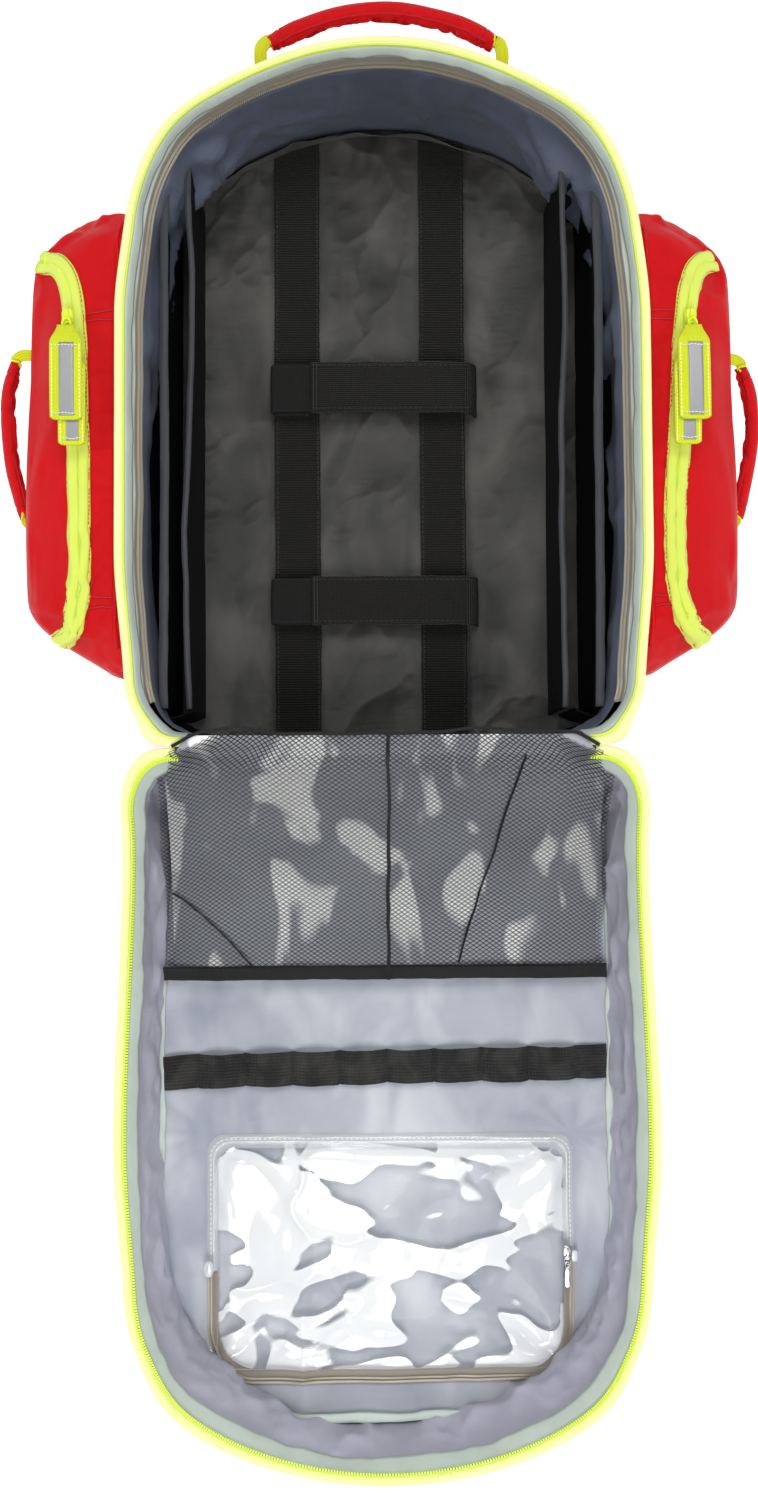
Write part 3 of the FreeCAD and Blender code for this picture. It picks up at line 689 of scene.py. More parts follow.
def make_film():
    """Clear soft film with painted reflections: where a noise mask is high it turns nearly opaque white, in hard-edged
    sheets that stand for mirrored lamps, and between them one looks through it."""
    look = Finish("clear_film", "#F4F6F7", rough=0.08, specular=0.6)
    look.shader.inputs["IOR"].default_value = 1.5
    look.shader.inputs["Coat Weight"].default_value = 1.0
    look.shader.inputs["Coat Roughness"].default_value = 0.03
    # Painted reflection: where this noise is high the film is nearly opaque white; the same noise lifts the bump.
    painted_reflection_noise = look.noise(0.052, 1.2, (0.8, 1.15, 1.0))
    painted_reflection_noise.node.inputs["Distortion"].default_value = 1.1
    cover = look.nodes.new("ShaderNodeMapRange")
    cover.inputs["From Min"].default_value = 0.455
    cover.inputs["From Max"].default_value = 0.475
    cover.inputs["To Min"].default_value = 0.07
    cover.inputs["To Max"].default_value = 0.80
    look.links.new(painted_reflection_noise, cover.inputs["Value"])
    look.links.new(cover.outputs[0], look.shader.inputs["Alpha"])
    look.raise_by(painted_reflection_noise, 0.004)
    return look.done(0.6)


FILM = make_film()


def make_film_edge():
    """The welded edge of the film: two layers, a little cloudy."""
    look = Finish("film_edge", "#E9EDEE", rough=0.12, specular=0.6)
    look.shader.inputs["Alpha"].default_value = 0.52
    look.shader.inputs["Coat Weight"].default_value = 1.0
    look.vary(look.noise(0.01, 3), "#C9CFD3", 0.5)
    look.raise_by(look.noise(0.006, 3), 0.0008)
    return look.done()


FILM_EDGE = make_film_edge()
print(len(bpy.data.materials), "materials")

# %% [markdown]
# ## Panels inside the outline
#
# A panel is a grid of columns across the bag. Each column starts on the near edge of the outline and ends
# on the crown, so the corners come out round without trimming.

# %% A filled panel
def outline_ends(x, inset):
    """Nearest and farthest v of the inset outline at each x."""
    points = RIM_POINTS - RIM_NORMALS * inset
    half = len(points) // 2 + 1
    right = points[:half]
    widest = int(np.argmax(right[:, 0] > right[:, 0].max() - 1e-5))
    near = np.interp(np.abs(x), right[:widest + 1, 0], right[:widest + 1, 1])
    far_points = right[widest:][::-1]
    far = np.interp(np.abs(x), far_points[:, 0], far_points[:, 1])
    return near, far


def panel_piece(name, half, inset, height, columns=121, rows=221, half_width=None, **shape):
    """A panel inside the outline; height gives z from x and v."""
    width = (HALF - inset) if half_width is None else half_width
    x = np.linspace(-width, width, columns)
    near, far = outline_ends(x, inset)
    t = np.linspace(0, 1, rows)[:, None]
    v = near + (far - near) * t
    x = np.broadcast_to(x, v.shape)
    return grid_piece(name, np.dstack([x * drawn_in(v, half), to_y(v, half), height(x, v)]), **shape)


# %% [markdown]
# ## Shells
#
# Body and lid are the same soft tray twice. The wall is full height, stands a little uneven because only
# its zip tape is stiff, and turns into the face with a soft round edge.

# %% Shell skins
def soft_out(run, seed, size=0.0012):
    return size * layered(run * 9, run * 0 + seed, seed)


def shell_piece(name, half, face_z, turn, seed):
    rows = []
    top = RIM_Z - 0.0045
    for t in np.linspace(0, 1, 12):
        z = top + (face_z + turn - top) * t
        rows.append(lambda run, t=t, z=z: (-0.0006 - 0.0016 * math.sin(math.pi * t) ** 2
                                           + soft_out(run, seed + int(t * 6)) * math.sin(math.pi * t), z + 0 * run))
    for angle in np.linspace(0, math.pi / 2, 7)[1:]:
        rows.append(level(-0.0006 - turn * (1 - math.cos(angle)), face_z + turn * (1 - math.sin(angle))))
    rows.append(level(-0.0006 - turn - 0.008, face_z))
    return rim_strip(name, half, rows, step=0.006)


body_skin = shell_piece("body_skin", "body", BODY_BACK, 0.014, 11)
finish_piece(body_skin, "main_body", RED, "red_fabric", ["body_shell"])
lid_skin = shell_piece("lid_skin", "lid", LID_FACE, 0.012, 23)
finish_piece(lid_skin, "lid", RED, "red_fabric", ["lid_shell"])


def face_height(base, bow, seed):
    def height(x, v):
        edge = np.minimum(np.minimum(HALF - np.abs(x), v), LENGTH - v)
        return base + ease(edge, 0.02, 0.06) * bow * layered(x * 14, v * 14, seed)
    return height


back_face = panel_piece("back_face", "body", 0.018, face_height(BODY_BACK + 0.0006, 0.0007, 31))
finish_piece(back_face, "main_body", RED, "red_fabric", ["back_board"])
lid_face = panel_piece("lid_face", "lid", 0.016, face_height(LID_FACE + 0.0006, 0.0007, 32))
finish_piece(lid_face, "lid", RED, "red_fabric")

# %% [markdown]
# ## Rims
#
# A wide neon binding folds over the edge of each half. It is rounded outside, nearly flat on top, and a
# thin corded line with close stitches runs along its inner edge, next to the big zip's teeth.

# %% Rim bindings, cords and stitches
RIM_STOP = 0.147


def rim_binding(name, half, seed):
    outline = [(-0.0004, -0.0052), (0.0008, -0.0045), (0.0012, -0.0028), (0.0010, -0.0012), (0.0002, -0.0003),
               (-0.0010, 0.0002), (-0.0026, 0.0003), (-0.0042, 0.0001), (-0.0052, -0.0006), (-0.0055, -0.0020),
               (-0.0052, -0.0040), (-0.0030, -0.0050)]
    rows = [lambda run, o=o, h=h, k=k: (o + soft_out(run, seed) * 0.35,
                                        RIM_Z + h + 0.0005 * layered(run * 16, run * 0 + k * 0.1, seed + 1))
            for k, (o, h) in enumerate(outline)]
    return rim_strip(name, half, rows, start=RIM_STOP, stop=RIM_LONG - RIM_STOP, close_v=True, caps=True, step=0.004)


def rim_cord(name, half, out, z, radius, seed, wander=0.0003, step=0.004):
    rows = []
    for angle in np.linspace(0, 2 * math.pi, 8, endpoint=False):
        a, b = radius * math.cos(angle), radius * math.sin(angle)
        rows.append(
            lambda run, a=a,
            b=b: (out + a + wander * layered(run * 22, run * 0, seed), z + b + 0 * run),
        )
    return rim_strip(name, half, rows, start=RIM_STOP, stop=RIM_LONG - RIM_STOP, close_v=True, caps=True, step=step)


def rim_blocks(name, half, out, z, pitch, sizes, skew=0.0, start=0.0, stop=None, jitter=0.0, seed=5):
    """Blocks along the rim; skew turns each one from the rim's direction towards its normal."""
    stop = RIM_LONG if stop is None else stop
    run = np.arange(start, stop, pitch)
    points, normals = rim_at(run)
    noise = np.random.default_rng(seed).normal(0, 1, (len(run), 2)) * jitter
    v = points[:, 1] + normals[:, 1] * (out + noise[:, 0])
    x = (points[:, 0] + normals[:, 0] * (out + noise[:, 0])) * drawn_in(v, half)
    places = np.c_[x, to_y(v, half), np.full(len(run), z)]
    along = np.c_[-normals[:, 1], normals[:, 0] * (1 if half == "body" else -1)]
    across = np.c_[normals[:, 0], normals[:, 1] * (1 if half == "body" else -1)]
    turn = skew + noise[:, 1:] * 40
    return many_boxes(name, places, sizes, np.c_[along * np.cos(turn) + across * np.sin(turn), np.zeros(len(run))])


for half, body in (("body", "main_body"), ("lid", "lid")):
    binding = rim_binding(f"{half}_rim_binding", half, 41 if half == "body" else 43)
    # The binding's pale finish carries painted glare.
    finish_piece(binding, body, LIME_EDGE, "lime_tape", [f"{half}_rim_tape"])
    cord = rim_cord(f"{half}_rim_cord", half, -0.0060, RIM_Z - 0.0006, 0.0008, 45)
    finish_piece(cord, body, LIME_TAPE, "lime_tape", [f"{half}_zip_chain"])
    seam = rim_blocks(f"{half}_rim_seam", half, -0.0040, RIM_Z + 0.0003, 0.0031, (0.0023, 0.0004, 0.0004), 0.0, RIM_STOP,
                      RIM_LONG - RIM_STOP, 0.0001)
    finish_piece(seam, body, LIME_TAPE, "lime_tape")

teeth = rim_blocks("lid_zip_teeth", "lid", -0.0074, RIM_Z - 0.0010, 0.0021, (0.0012, 0.0022, 0.0014), 0.0, RIM_STOP,
                   RIM_LONG - RIM_STOP)
finish_piece(teeth, "lid", LIME_COIL, "lime_coil")
for half, body, low in (("body", "main_body", 0.0050), ("lid", "lid", 0.0034)):
    zip_tape = rim_strip(
        f"{half}_zip_tape", half, [level(-0.0052, RIM_Z - 0.0016), level(-0.0068, RIM_Z - 0.0026,
    ),
                                                    level(-0.0078, RIM_Z - low)],
                         start=RIM_STOP, stop=RIM_LONG - RIM_STOP, thick=0.0006)
    finish_piece(zip_tape, body, LIME_TAPE, "lime_tape")

# %% [markdown]
# ## Inside the body's wall
#
# From the rim down: a pale gathered strip that covers the zip, an olive coil zip for a cover, the dark
# lining that leans inwards and folds at the far corners, and a black band with a wavy top.

# %% The pale strip
def gather(run, seed, pitch=0.055, size=1.0):
    return size * layered(run / pitch, run * 0 + 0.3, seed)


def along_side(run):
    """1 where the rim runs straight along a side, 0 at the hinge and the crown."""
    points, normals = rim_at(run)
    return np.abs(normals[:, 0]) ** 2


def strip_rows(seed, deep):
    rows = []
    for t in np.linspace(0, 1, 8):
        def row(run, t=t):
            wave = gather(run, seed, 0.05)
            fine = gather(run, seed + 3, 0.016)
            out = -0.0066 - deep * t + t * (0.0019 * wave + 0.0010 * fine)
            z = RIM_Z - 0.0022 - 0.0075 * t ** 1.6 + t * 0.0014 * fine
            return out, z
        rows.append(row)
    return rows


pale_strip = rim_strip("pale_strip", "body", strip_rows(51, 0.0043), start=RIM_STOP, stop=RIM_LONG - RIM_STOP,
                       step=0.003, thick=0.0008)
finish_piece(pale_strip, "main_body", PALE_STRIP, "pale_strip", ["storm_flap"])

# %% [markdown]
# The zip is a tape with a double coil that looks like rope. The coil is made of short slanted blocks, two
# rows in mirror image.

# %% The inner zip
ZIP_STOP = 0.205


def zip_path(run):
    """Distance outside the rim and height of the inner zip's middle: it wanders a little."""
    side = along_side(run)
    out = -0.0094 + 0.0014 * gather(run, 61, 0.06) - 0.0044 * side
    z = 0.1485 + 0.0018 * gather(run, 62, 0.07)
    return out, z


def zip_rows(offsets):
    rows = []
    for shift, rise in offsets:
        def row(run, shift=shift, rise=rise):
            out, z = zip_path(run)
            return out + shift, z + rise
        rows.append(row)
    return rows


olive_tape = rim_strip("olive_tape", "body",
                       zip_rows([(0.0022, 0.0062), (0.0016, 0.0034), (0.0008, 0.0010), (0.0, 0.0),
                                 (-0.0014, -0.0018), (-0.0022, -0.0046)]), start=ZIP_STOP,
                       stop=RIM_LONG - ZIP_STOP, step=0.003, thick=0.0007)
finish_piece(olive_tape, "main_body", OLIVE_TAPE, "olive_coil")


def path_blocks(name, half, path, shift, rise, pitch, sizes, skew, start=0.0, stop=None):
    stop = RIM_LONG if stop is None else stop
    run = np.arange(start, stop, pitch)
    points, normals = rim_at(run)
    out, z = path(run)
    out = out + shift
    sign = 1 if half == "body" else -1
    v = points[:, 1] + normals[:, 1] * out
    places = np.c_[(points[:, 0] + normals[:, 0] * out) * drawn_in(v, half), to_y(v, half), z + rise]
    along = np.c_[-normals[:, 1], normals[:, 0] * sign]
    across = np.c_[normals[:, 0], normals[:, 1] * sign]
    direction = np.c_[along * math.cos(skew) + across * math.sin(skew), np.full(len(run), 0.25 * math.sin(skew))]
    return many_boxes(name, places, sizes, direction)


coils = []
for sign in (-1, 1):
    coils.append(path_blocks(f"olive_coil_{'in' if sign < 0 else 'out'}", "body", zip_path, 0.0009 * sign - 0.0012, 0.0012 * sign,
                             0.0019, (0.0026, 0.0009, 0.0015), sign * 0.75, ZIP_STOP, RIM_LONG - ZIP_STOP))
finish_piece(coils[0], "main_body", OLIVE_COIL, "olive_coil", ["inner_zip_coil"])
finish_piece(coils[1], "main_body", OLIVE_COIL, "olive_coil")

# %% [markdown]
# The lining below the zip is thin satin. Its folds are steepest at the far corners, where the straight cut
# has to go round the bend.

# %% The wall lining
def at_hinge(run):
    """1 along the straight hinge edge, where everything lies flat against the wall."""
    away = np.minimum(run, RIM_LONG - run)
    return 1 - ease(away, HALF - CORNER - 0.03, HALF - CORNER + 0.012)


def corner_pull(run):
    """1 at the far corners, where the lining bunches."""
    points, normals = rim_at(run)
    return np.exp(-((np.abs(points[:, 0]) - 0.165) / 0.035) ** 2) * (points[:, 1] > 0.3)


def lining_rows(seed):
    rows = []
    for t in np.linspace(0, 1, 34):
        def row(run, t=t):
            side = along_side(run)
            pull = corner_pull(run)
            z = 0.1462 - (0.1462 - PANEL_Z) * t
            lean = 0.0065 * np.sin(math.pi * np.clip(t * 1.6, 0, 1)) * side
            body = math.sin(math.pi * min(t * 1.15, 1)) ** 0.7
            fold = creases(run * 13, t * 2.2 + 0.5 * run * 9, seed, 4) * (0.0075 + 0.016 * pull) * body
            soft = 0.0035 * layered(run * 7, t * 1.5 + 0 * run, seed + 7) * body
            start = zip_path(run)[0] - 0.0020
            sag = 0.020 * pull * t ** 1.5 * math.sin(math.pi * min(t * 1.02, 1)) ** 0.5
            out = start * (1 - t) ** 1.4 + (-0.0052) * (1 - (1 - t) ** 1.4) - lean - fold + soft - sag
            return out * (1 - at_hinge(run)) - 0.0045 * at_hinge(run), z + 0 * run
        rows.append(row)
    return rows


wall_lining = rim_strip("wall_lining", "body", lining_rows(71), step=0.0035, thick=0.0008)
finish_piece(wall_lining, "main_body", DARK_LINING, "grey_lining", ["body_lining"])

upper_wall = rim_strip("upper_wall", "body",
                       [level(-0.0066, RIM_Z - 0.0045), level(-0.0074, RIM_Z - 0.010),
                        lambda run: (zip_path(run)[0] + 0.0020, zip_path(run)[1] + 0.0062)], start=RIM_STOP,
                       stop=RIM_LONG - RIM_STOP, step=0.005)
finish_piece(upper_wall, "main_body", PALE_STRIP, "pale_strip")

# %% [markdown]
# A black band covers the lowest part of the wall. Its top edge is loose and wavy at the crown.

# %% The black band
def band_rows(seed):
    rows = []
    for t in np.linspace(0, 1, 12):
        def row(run, t=t):
            wave = gather(run, seed, 0.07)
            top = 0.052 + 0.006 * wave
            z = top + (PANEL_Z + 0.0005 - top) * t
            out = -0.0105 - 0.006 * (1 - t) - 0.004 * (1 - t) * gather(run, seed + 4, 0.03)
            return out * (1 - 0.5 * at_hinge(run)), z
        rows.append(row)
    return rows


black_band = rim_strip("black_band", "body", band_rows(81), step=0.0035, thick=0.001)
finish_piece(black_band, "main_body", BLACK_SATIN, "black_satin")
body_rim_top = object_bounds()
print("walls done, shown top", round(body_rim_top[1][2], 4))

# %% [markdown]
# ## The back panel
#
# Black satin over a board. It is loose enough to make broad soft waves, and it is pinned flat where the
# two long webbings are sewn down, so the waves start again on each side of them.

# %% Back panel cloth
TAPES = [(-0.089 + 0.0, -0.051), (0.033, 0.071)]


def near_tape(x):
    """0 on a webbing, 1 well away from both."""
    gap = np.min([np.abs(x - (a + b) / 2) - (b - a) / 2 for a, b in TAPES], axis=0)
    return ease(gap, -0.002, 0.022)


def back_height(x, v):
    loose = near_tape(x) * ease(HALF - np.abs(x), 0.01, 0.03)
    waves = 0.0060 * layered(x * 11 + 3, v * 12, 91, 2) + 0.0042 * creases(x * 9 + v * 5, v * 8 - x * 6, 92, 4)
    slopes = 0.0022 * creases(x * 22 - v * 12, v * 17, 93, 5)
    pulled = 0.0016 * creases(x * 20, v * 38, 94, 3) * (1 - ease(np.abs(near_tape(x) - 0.5), 0.1, 0.5))
    return PANEL_Z - 0.0012 + loose * np.clip(1.25 * (waves + slopes), -0.001, 0.0130) + pulled


back_cloth = panel_piece("back_cloth", "body", 0.0035, back_height, columns=221, rows=301)
finish_piece(back_cloth, "main_body", BLACK_SATIN, "black_satin", ["back_panel_lining"])

# %% [markdown]
# ## Webbing on the back panel
#
# Two loop webbings run the whole length. Bottle straps cross them: each has a short hook patch on the left
# and a wide strap that closes over a bottle. The straps are raised, so a bottle fits under them.

# %% Ribbons
def ribbon(name, path, across, width, thick, wobble=0.0, seed=1, step_across=13, crown=0.0):
    """A strap along path (N, 3). across (N, 3) is its width direction; crown arches the middle."""
    path, across = np.asarray(path, float), np.asarray(across, float)
    along = np.gradient(path, axis=0)
    along /= np.linalg.norm(along, axis=1)[:, None]
    across = across - along * (across * along).sum(axis=1)[:, None]
    across /= np.linalg.norm(across, axis=1)[:, None]
    up = np.cross(across, along)
    t = np.linspace(-0.5, 0.5, step_across)[:, None, None]
    run = np.r_[0, np.cumsum(np.linalg.norm(np.diff(path, axis=0), axis=1))]
    edge = wobble * layered(run[None, :] * 60, np.sign(t[:, :, 0]) * 2 + 4 + 0 * run[None, :], seed)
    points = path[None] + across[None] * (t * width + (np.abs(t) * 2 * edge[:, :, None]))
    points = points + up[None] * (crown * (1 - (2 * t) ** 2))
    points = points + up[None] * (wobble * layered(run[None, :] * 35, t[:, :, 0] * 2 + 5, seed + 1))[:, :, None]
    return grid_piece(name, points, thick=thick)


def straight(a, b, count):
    return np.linspace(a, b, count)


def fixed(direction, count):
    return np.tile(np.array(direction, float), (count, 1))


# %% [markdown]
# Webbing runs round the inside in low loops, sewn down between them.

# %% Loop webbing
near_end, far_end = 0.008, 0.519
for side, (left, right) in zip(("left", "right"), TAPES):
    middle = (left + right) / 2
    count = 240
    v = np.linspace(near_end, far_end, count)
    path = np.c_[np.full(count, middle) + 0.0006 * layered(v * 9, v * 0, 7), to_y(v),
                 np.full(count, PANEL_Z + 0.0018) + 0.0009 * layered(v * 12, v * 0, 8)]
    webbing = ribbon(
        f"loop_webbing_{side}", path, fixed((1, 0, 0), count), right - left, 0.0016, 0.0005, 101,
    )
    finish_piece(
        webbing, "main_body", LOOP_WEBBING, "black_webbing", ["loop_tapes"] if side == "left" else (),
    )
    stitches = []
    for x in (left + 0.0025, right - 0.0025):
        for w in np.arange(near_end, far_end, 0.0042):
            stitches.append((x, to_y(w), PANEL_Z + 0.0031))
    stitches = many_boxes(
        f"loop_stitches_{side}", stitches, (0.0028, 0.0006, 0.0006), fixed((0, 1, 0), len(stitches)),
    )
    finish_piece(stitches, "main_body", BLACK_THREAD, "black_webbing")

# %% [markdown]
# A bottle strap is a wide webbing whose right end is sewn to the panel and whose left end lies on the hook
# patch. Its last part has the fuzzy loop side turned outwards, so the seam between the two shows as a step.

# %% Bottle straps
STRAPS = {"upper": (0.281, 0.323), "lower": (0.104, 0.144)}
for level_name, (low, high) in STRAPS.items():
    body = f"bottle_strap_{level_name}_flap"
    wide = high - low
    middle = (low + high) / 2
    count = 130
    t = np.linspace(0, 1, count)
    x = 0.0795 + (-0.0585 - 0.0795) * t
    rise = 0.0560 - 0.0015 + 0.0 * t
    z = PANEL_Z + 0.004 + (rise - PANEL_Z - 0.004) * np.sqrt(np.clip(1 - (1 - np.clip(t / 0.09, 0, 1)) ** 2, 0, 1))
    z = z - 0.0018 * ease(t, 0.8, 1.0) + 0.0008 * layered(t * 5, t * 0, 111)
    strap = ribbon(
        f"bottle_strap_{level_name}", np.c_[x, np.full(count, to_y(middle)), z], fixed((0, 1, 0), count,
    ),
                   wide, 0.0024, 0.0006, 112)
    finish_piece(strap, body, LOOP_WEBBING, "black_webbing", [f"bottle_strap_{level_name}_flap"])
    count = 60
    x = np.linspace(-0.0570, -0.0900, count)
    z = 0.0505 + 0.0006 * layered(x * 60, x * 0, 113)
    patch = ribbon(f"hook_patch_{level_name}", np.c_[x, np.full(count, to_y(middle + 0.0005)), z],
                   fixed((0, 1, 0), count), wide - 0.003, 0.0022, 0.0005, 114)
    finish_piece(patch, "main_body", HOOK_TAPE, "black_webbing",
                 ["bottle_strap_anchors"] if level_name == "upper" else ())
    leg_count = 40
    leg = np.linspace(0, 1, leg_count)
    leg_path = np.c_[-0.0900 - 0.0014 * np.sin(math.pi * leg), np.full(leg_count, to_y(middle)),
                     0.0500 - (0.0500 - PANEL_Z - 0.0035) * leg]
    leg_path = np.vstack(
        [leg_path, leg_path[-1] + np.c_[np.linspace(0.002, 0.03, 12), np.zeros(12), np.zeros(12)]],
    )
    leg_piece = ribbon(
        f"hook_leg_{level_name}", leg_path, fixed((0, 1, 0), len(leg_path)), wide - 0.004, 0.0018,
        0.0004, 115,
    )
    finish_piece(leg_piece, "main_body", HOOK_TAPE, "black_webbing")
    stitches = []
    for edge in (low + 0.003, high - 0.003):
        for sx in np.arange(-0.0555, 0.074, 0.0042):
            stitches.append((sx, to_y(edge), 0.0560))
    thread = many_boxes(
        f"strap_stitches_{level_name}", stitches, (0.0028, 0.0006, 0.0006),
        fixed((1, 0, 0), len(stitches)),
    )
    finish_piece(thread, body, BLACK_THREAD, "black_webbing")
    bar = []
    for sy in np.arange(low + 0.002, high - 0.001, 0.0016):
        bar.append((-0.0560, to_y(sy), 0.0558))
        bar.append((-0.0535, to_y(sy), 0.0560))
    bar = many_boxes(
        f"strap_bar_{level_name}", bar, (0.0022, 0.0006, 0.0007), fixed((0.35, 1, 0), len(bar)),
    )
    finish_piece(bar, body, BLACK_THREAD, "black_webbing")
print("straps at", {k: (round(to_y(a), 4), round(to_y(b), 4)) for k, (a, b) in STRAPS.items()})

# %% [markdown]
# ## Side dividers and sleeves
#
# Along each side stand two soft walls. The outer one, a sleeve, has a wide grey bound top. The inner one, a
# divider, is black and ends in a thin shiny edge. Both sag and bow, so the edges wander.

# %% Standing walls
def standing_wall(name, x_at, near, far, low, high, bow, seed, thick=0.0022, lean=0.0):
    rows, columns = 22, 150
    t, w = np.linspace(0, 1, rows)[:, None], np.linspace(0, 1, columns)[None, :]
    v = near + (far - near) * w + 0 * t
    z = low + (high - low) * t + 0 * w
    top = high - 0.004 * ease(1 - w, 0.9, 1.0) - 0.008 * ease(w, 0.93, 1.0) + 0.0015 * layered(v * 9, v * 0, seed)
    z = low + (top - low) * t
    side = math.copysign(1, x_at)
    x = x_at + side * (lean * t + bow * t * layered(v * 6, t * 1.2 + 0 * v, seed + 1))
    return grid_piece(name, np.dstack([x, to_y(v), z]), thick=thick)


def wall_top(name, x_at, near, far, high, wide, bow, seed, lean, material, body="main_body", slot="grey_satin"):
    count = 170
    w = np.linspace(0, 1, count)
    v = near + (far - near) * w
    side = math.copysign(1, x_at)
    top = high - 0.004 * ease(1 - w, 0.9, 1.0) - 0.008 * ease(w, 0.93, 1.0) + 0.0015 * layered(v * 9, v * 0, seed)
    x = x_at + side * (lean + bow * layered(v * 6, v * 0 + 1.2, seed + 1))
    piece = ribbon(
        name, np.c_[x, to_y(v), top + 0.0012], fixed((1, 0, 0.08), count), wide, 0.0016, 0.0004, seed,
        crown=0.0012,
    )
    return finish_piece(piece, body, material, slot)


# Sleeves, dividers, pocket backs and sleeve ends use black cloth darkened with painted shade.
for side, sign in (("left", -1), ("right", 1)):
    sleeve_x = sign * 0.1655 if sign > 0 else -0.1675
    sleeve_seed = 121 if sign > 0 else 125
    sleeve = standing_wall(f"sleeve_{side}", sleeve_x, 0.030, 0.444, PANEL_Z, 0.1385, 0.0022, sleeve_seed)
    finish_piece(sleeve, "main_body", SHADED_BLACK, "black_satin", [f"side_sleeve_{side}"])
    wall_top(
        f"sleeve_top_{side}", sleeve_x, 0.030, 0.444, 0.1385, 0.0060, 0.0022, sleeve_seed, 0.0,
        GREY_SLEEVE,
    )
    divider_x = -0.1490 if sign < 0 else 0.1400
    lean = 0.0
    divider = standing_wall(
        f"divider_{side}", divider_x, 0.030, 0.456, PANEL_Z, 0.1300, 0.0055, sleeve_seed + 60, 0.0026,
        lean,
    )
    finish_piece(divider, "main_body", SHADED_BLACK, "black_satin", [f"side_divider_{side}"])
    wall_top(
        f"divider_top_{side}", divider_x, 0.030, 0.456, 0.1300, 0.0034, 0.0055, sleeve_seed + 60, lean,
        GREY_SLEEVE,
    )
    near_wall = standing_wall(
        f"pocket_back_{side}", sign * 0.1830, 0.034, 0.440, PANEL_Z, 0.1250, 0.0012, sleeve_seed + 9,
    )
    finish_piece(near_wall, "main_body", SHADED_BLACK, "black_satin")
    for w, end in ((0.030, "near"), (0.444, "far")):
        rows, columns = 14, 8
        t, s = np.linspace(0, 1, rows)[:, None], np.linspace(0, 1, columns)[None, :]
        x = sign * (0.1480 + 0.036 * s) + 0 * t
        z = PANEL_Z + (0.118 - PANEL_Z) * t - 0.004 * np.sin(math.pi * s)
        v = w + (0.006 * np.sin(math.pi * s) if end == "far" else -0.006 * np.sin(math.pi * s)) + 0 * t
        gusset = grid_piece(f"sleeve_end_{end}_{side}", np.dstack([x, to_y(v), z]), thick=0.0016)
        finish_piece(gusset, "main_body", SHADED_BLACK, "black_satin")

# %% [markdown]
# ## Inside the lid
#
# The lid's wall is hidden by a lilac-grey lining that was cut far too long on purpose, so that it gathers.
# Gathers run from the rim to the panel: strong waves along the seam, almost none across it.

# %% Lid lining
def lid_lining_rows(seed):
    rows = []
    for t in np.linspace(0, 1, 34):
        def row(run, t=t):
            body = math.sin(math.pi * min(max(t, 0.0), 1)) ** 0.6
            far = 1 - along_side(run)
            ripple = creases(run * 24, t * 1.3 + run * 5, seed, 3) * 0.0055
            wide = layered(run * 10, t * 2.0, seed + 9) * 0.0045
            sag = 0.004 * far
            out = -0.0105 - 0.0125 * t ** 1.3 - body * (ripple + wide + sag)
            z = 0.1600 - (0.1600 - LID_PANEL_Z - 0.0005) * t ** 0.92
            return out, z + 0.0015 * body * layered(run * 30, t * 3, seed + 3)
        rows.append(row)
    return rows


lid_wall = rim_strip("lid_wall_lining", "lid", lid_lining_rows(141), step=0.003, thick=0.0008)
finish_piece(lid_wall, "lid", LILAC_LINING, "grey_lining", ["lid_lining"])


def lid_strip_rows(seed):
    rows = []
    for t in np.linspace(0, 1, 7):
        def row(run, t=t):
            wave = gather(run, seed, 0.034)
            fine = gather(run, seed + 2, 0.013)
            return (-0.0064 - 0.0085 * t + t * (0.0026 * wave + 0.0008 * fine),
                    RIM_Z - 0.0024 - 0.0100 * t ** 1.3 + 0.0012 * t * wave)
        rows.append(row)
    return rows


lid_strip = rim_strip(
    "lid_pale_strip", "lid", lid_strip_rows(151), start=0.12, stop=RIM_LONG - 0.12, step=0.003,
    thick=0.0008,
)
finish_piece(lid_strip, "lid", PALE_STRIP, "pale_strip")

# %% [markdown]
# The panel is a satin sheet held only at its edges. Its far end is loose and rises to the rim, and folds
# run out from the corners of the clear pocket that is sewn to it.

# %% Lid panel
def half_at(v, inset):
    """Half width of the inset outline at v."""
    points = RIM_POINTS - RIM_NORMALS * inset
    half = len(points) // 2 + 1
    return np.interp(v, points[:half, 1], points[:half, 0]) * drawn_in(v, "lid")


PANEL_HALF = 0.1755
PANEL_FAR = 0.5085
POCKET_CORNERS = [(-0.140, 0.486), (0.146, 0.486), (-0.140, 0.305), (0.146, 0.305)]


def lid_panel_z(x, d):
    """Height of the lid panel at x and distance d from the hinge line."""
    z = LID_PANEL_Z - 0.0004 + 0.0046 * layered(x * 9, d * 5 + 4, 161, 2) + 0.0016 * layered(x * 24, d * 9, 162)
    z = z + 0.0046 * creases(x * 9 + 2, d * 4, 163, 3) - 0.0018
    for index, (cx, cd) in enumerate(POCKET_CORNERS):
        reach = np.hypot(x - cx, d - cd)
        angle = np.arctan2(d - cd, x - cx)
        rays = np.cos(angle * 7 + index * 1.7) * np.exp(-((reach - 0.045) / 0.035) ** 2)
        z = z + 0.0024 * rays
    rise = 0.036 * ease(d, 0.440, PANEL_FAR + 0.012) ** 1.4
    side = 0.006 * ease(np.abs(x), 0.155, 0.176)
    return np.maximum(z, LID_PANEL_Z - 0.0032) + rise + side


rows, columns = 260, 180
d = np.linspace(0.012, PANEL_FAR, rows)[:, None]
edge = np.minimum(PANEL_HALF, half_at(np.maximum(d - HINGE_GAP, 0.052), 0.0185))
x = np.linspace(-1, 1, columns)[None, :] * edge
d = np.broadcast_to(d, x.shape)
lid_panel = grid_piece("lid_panel_cloth", np.dstack([x, HINGE_Y - d, lid_panel_z(x, d)]))
finish_piece(lid_panel, "lid", LID_SATIN, "grey_satin", ["lid_panel"])

# %% [markdown]
# A pale gathered hem finishes the panel's edge: down both sides and across the far end.

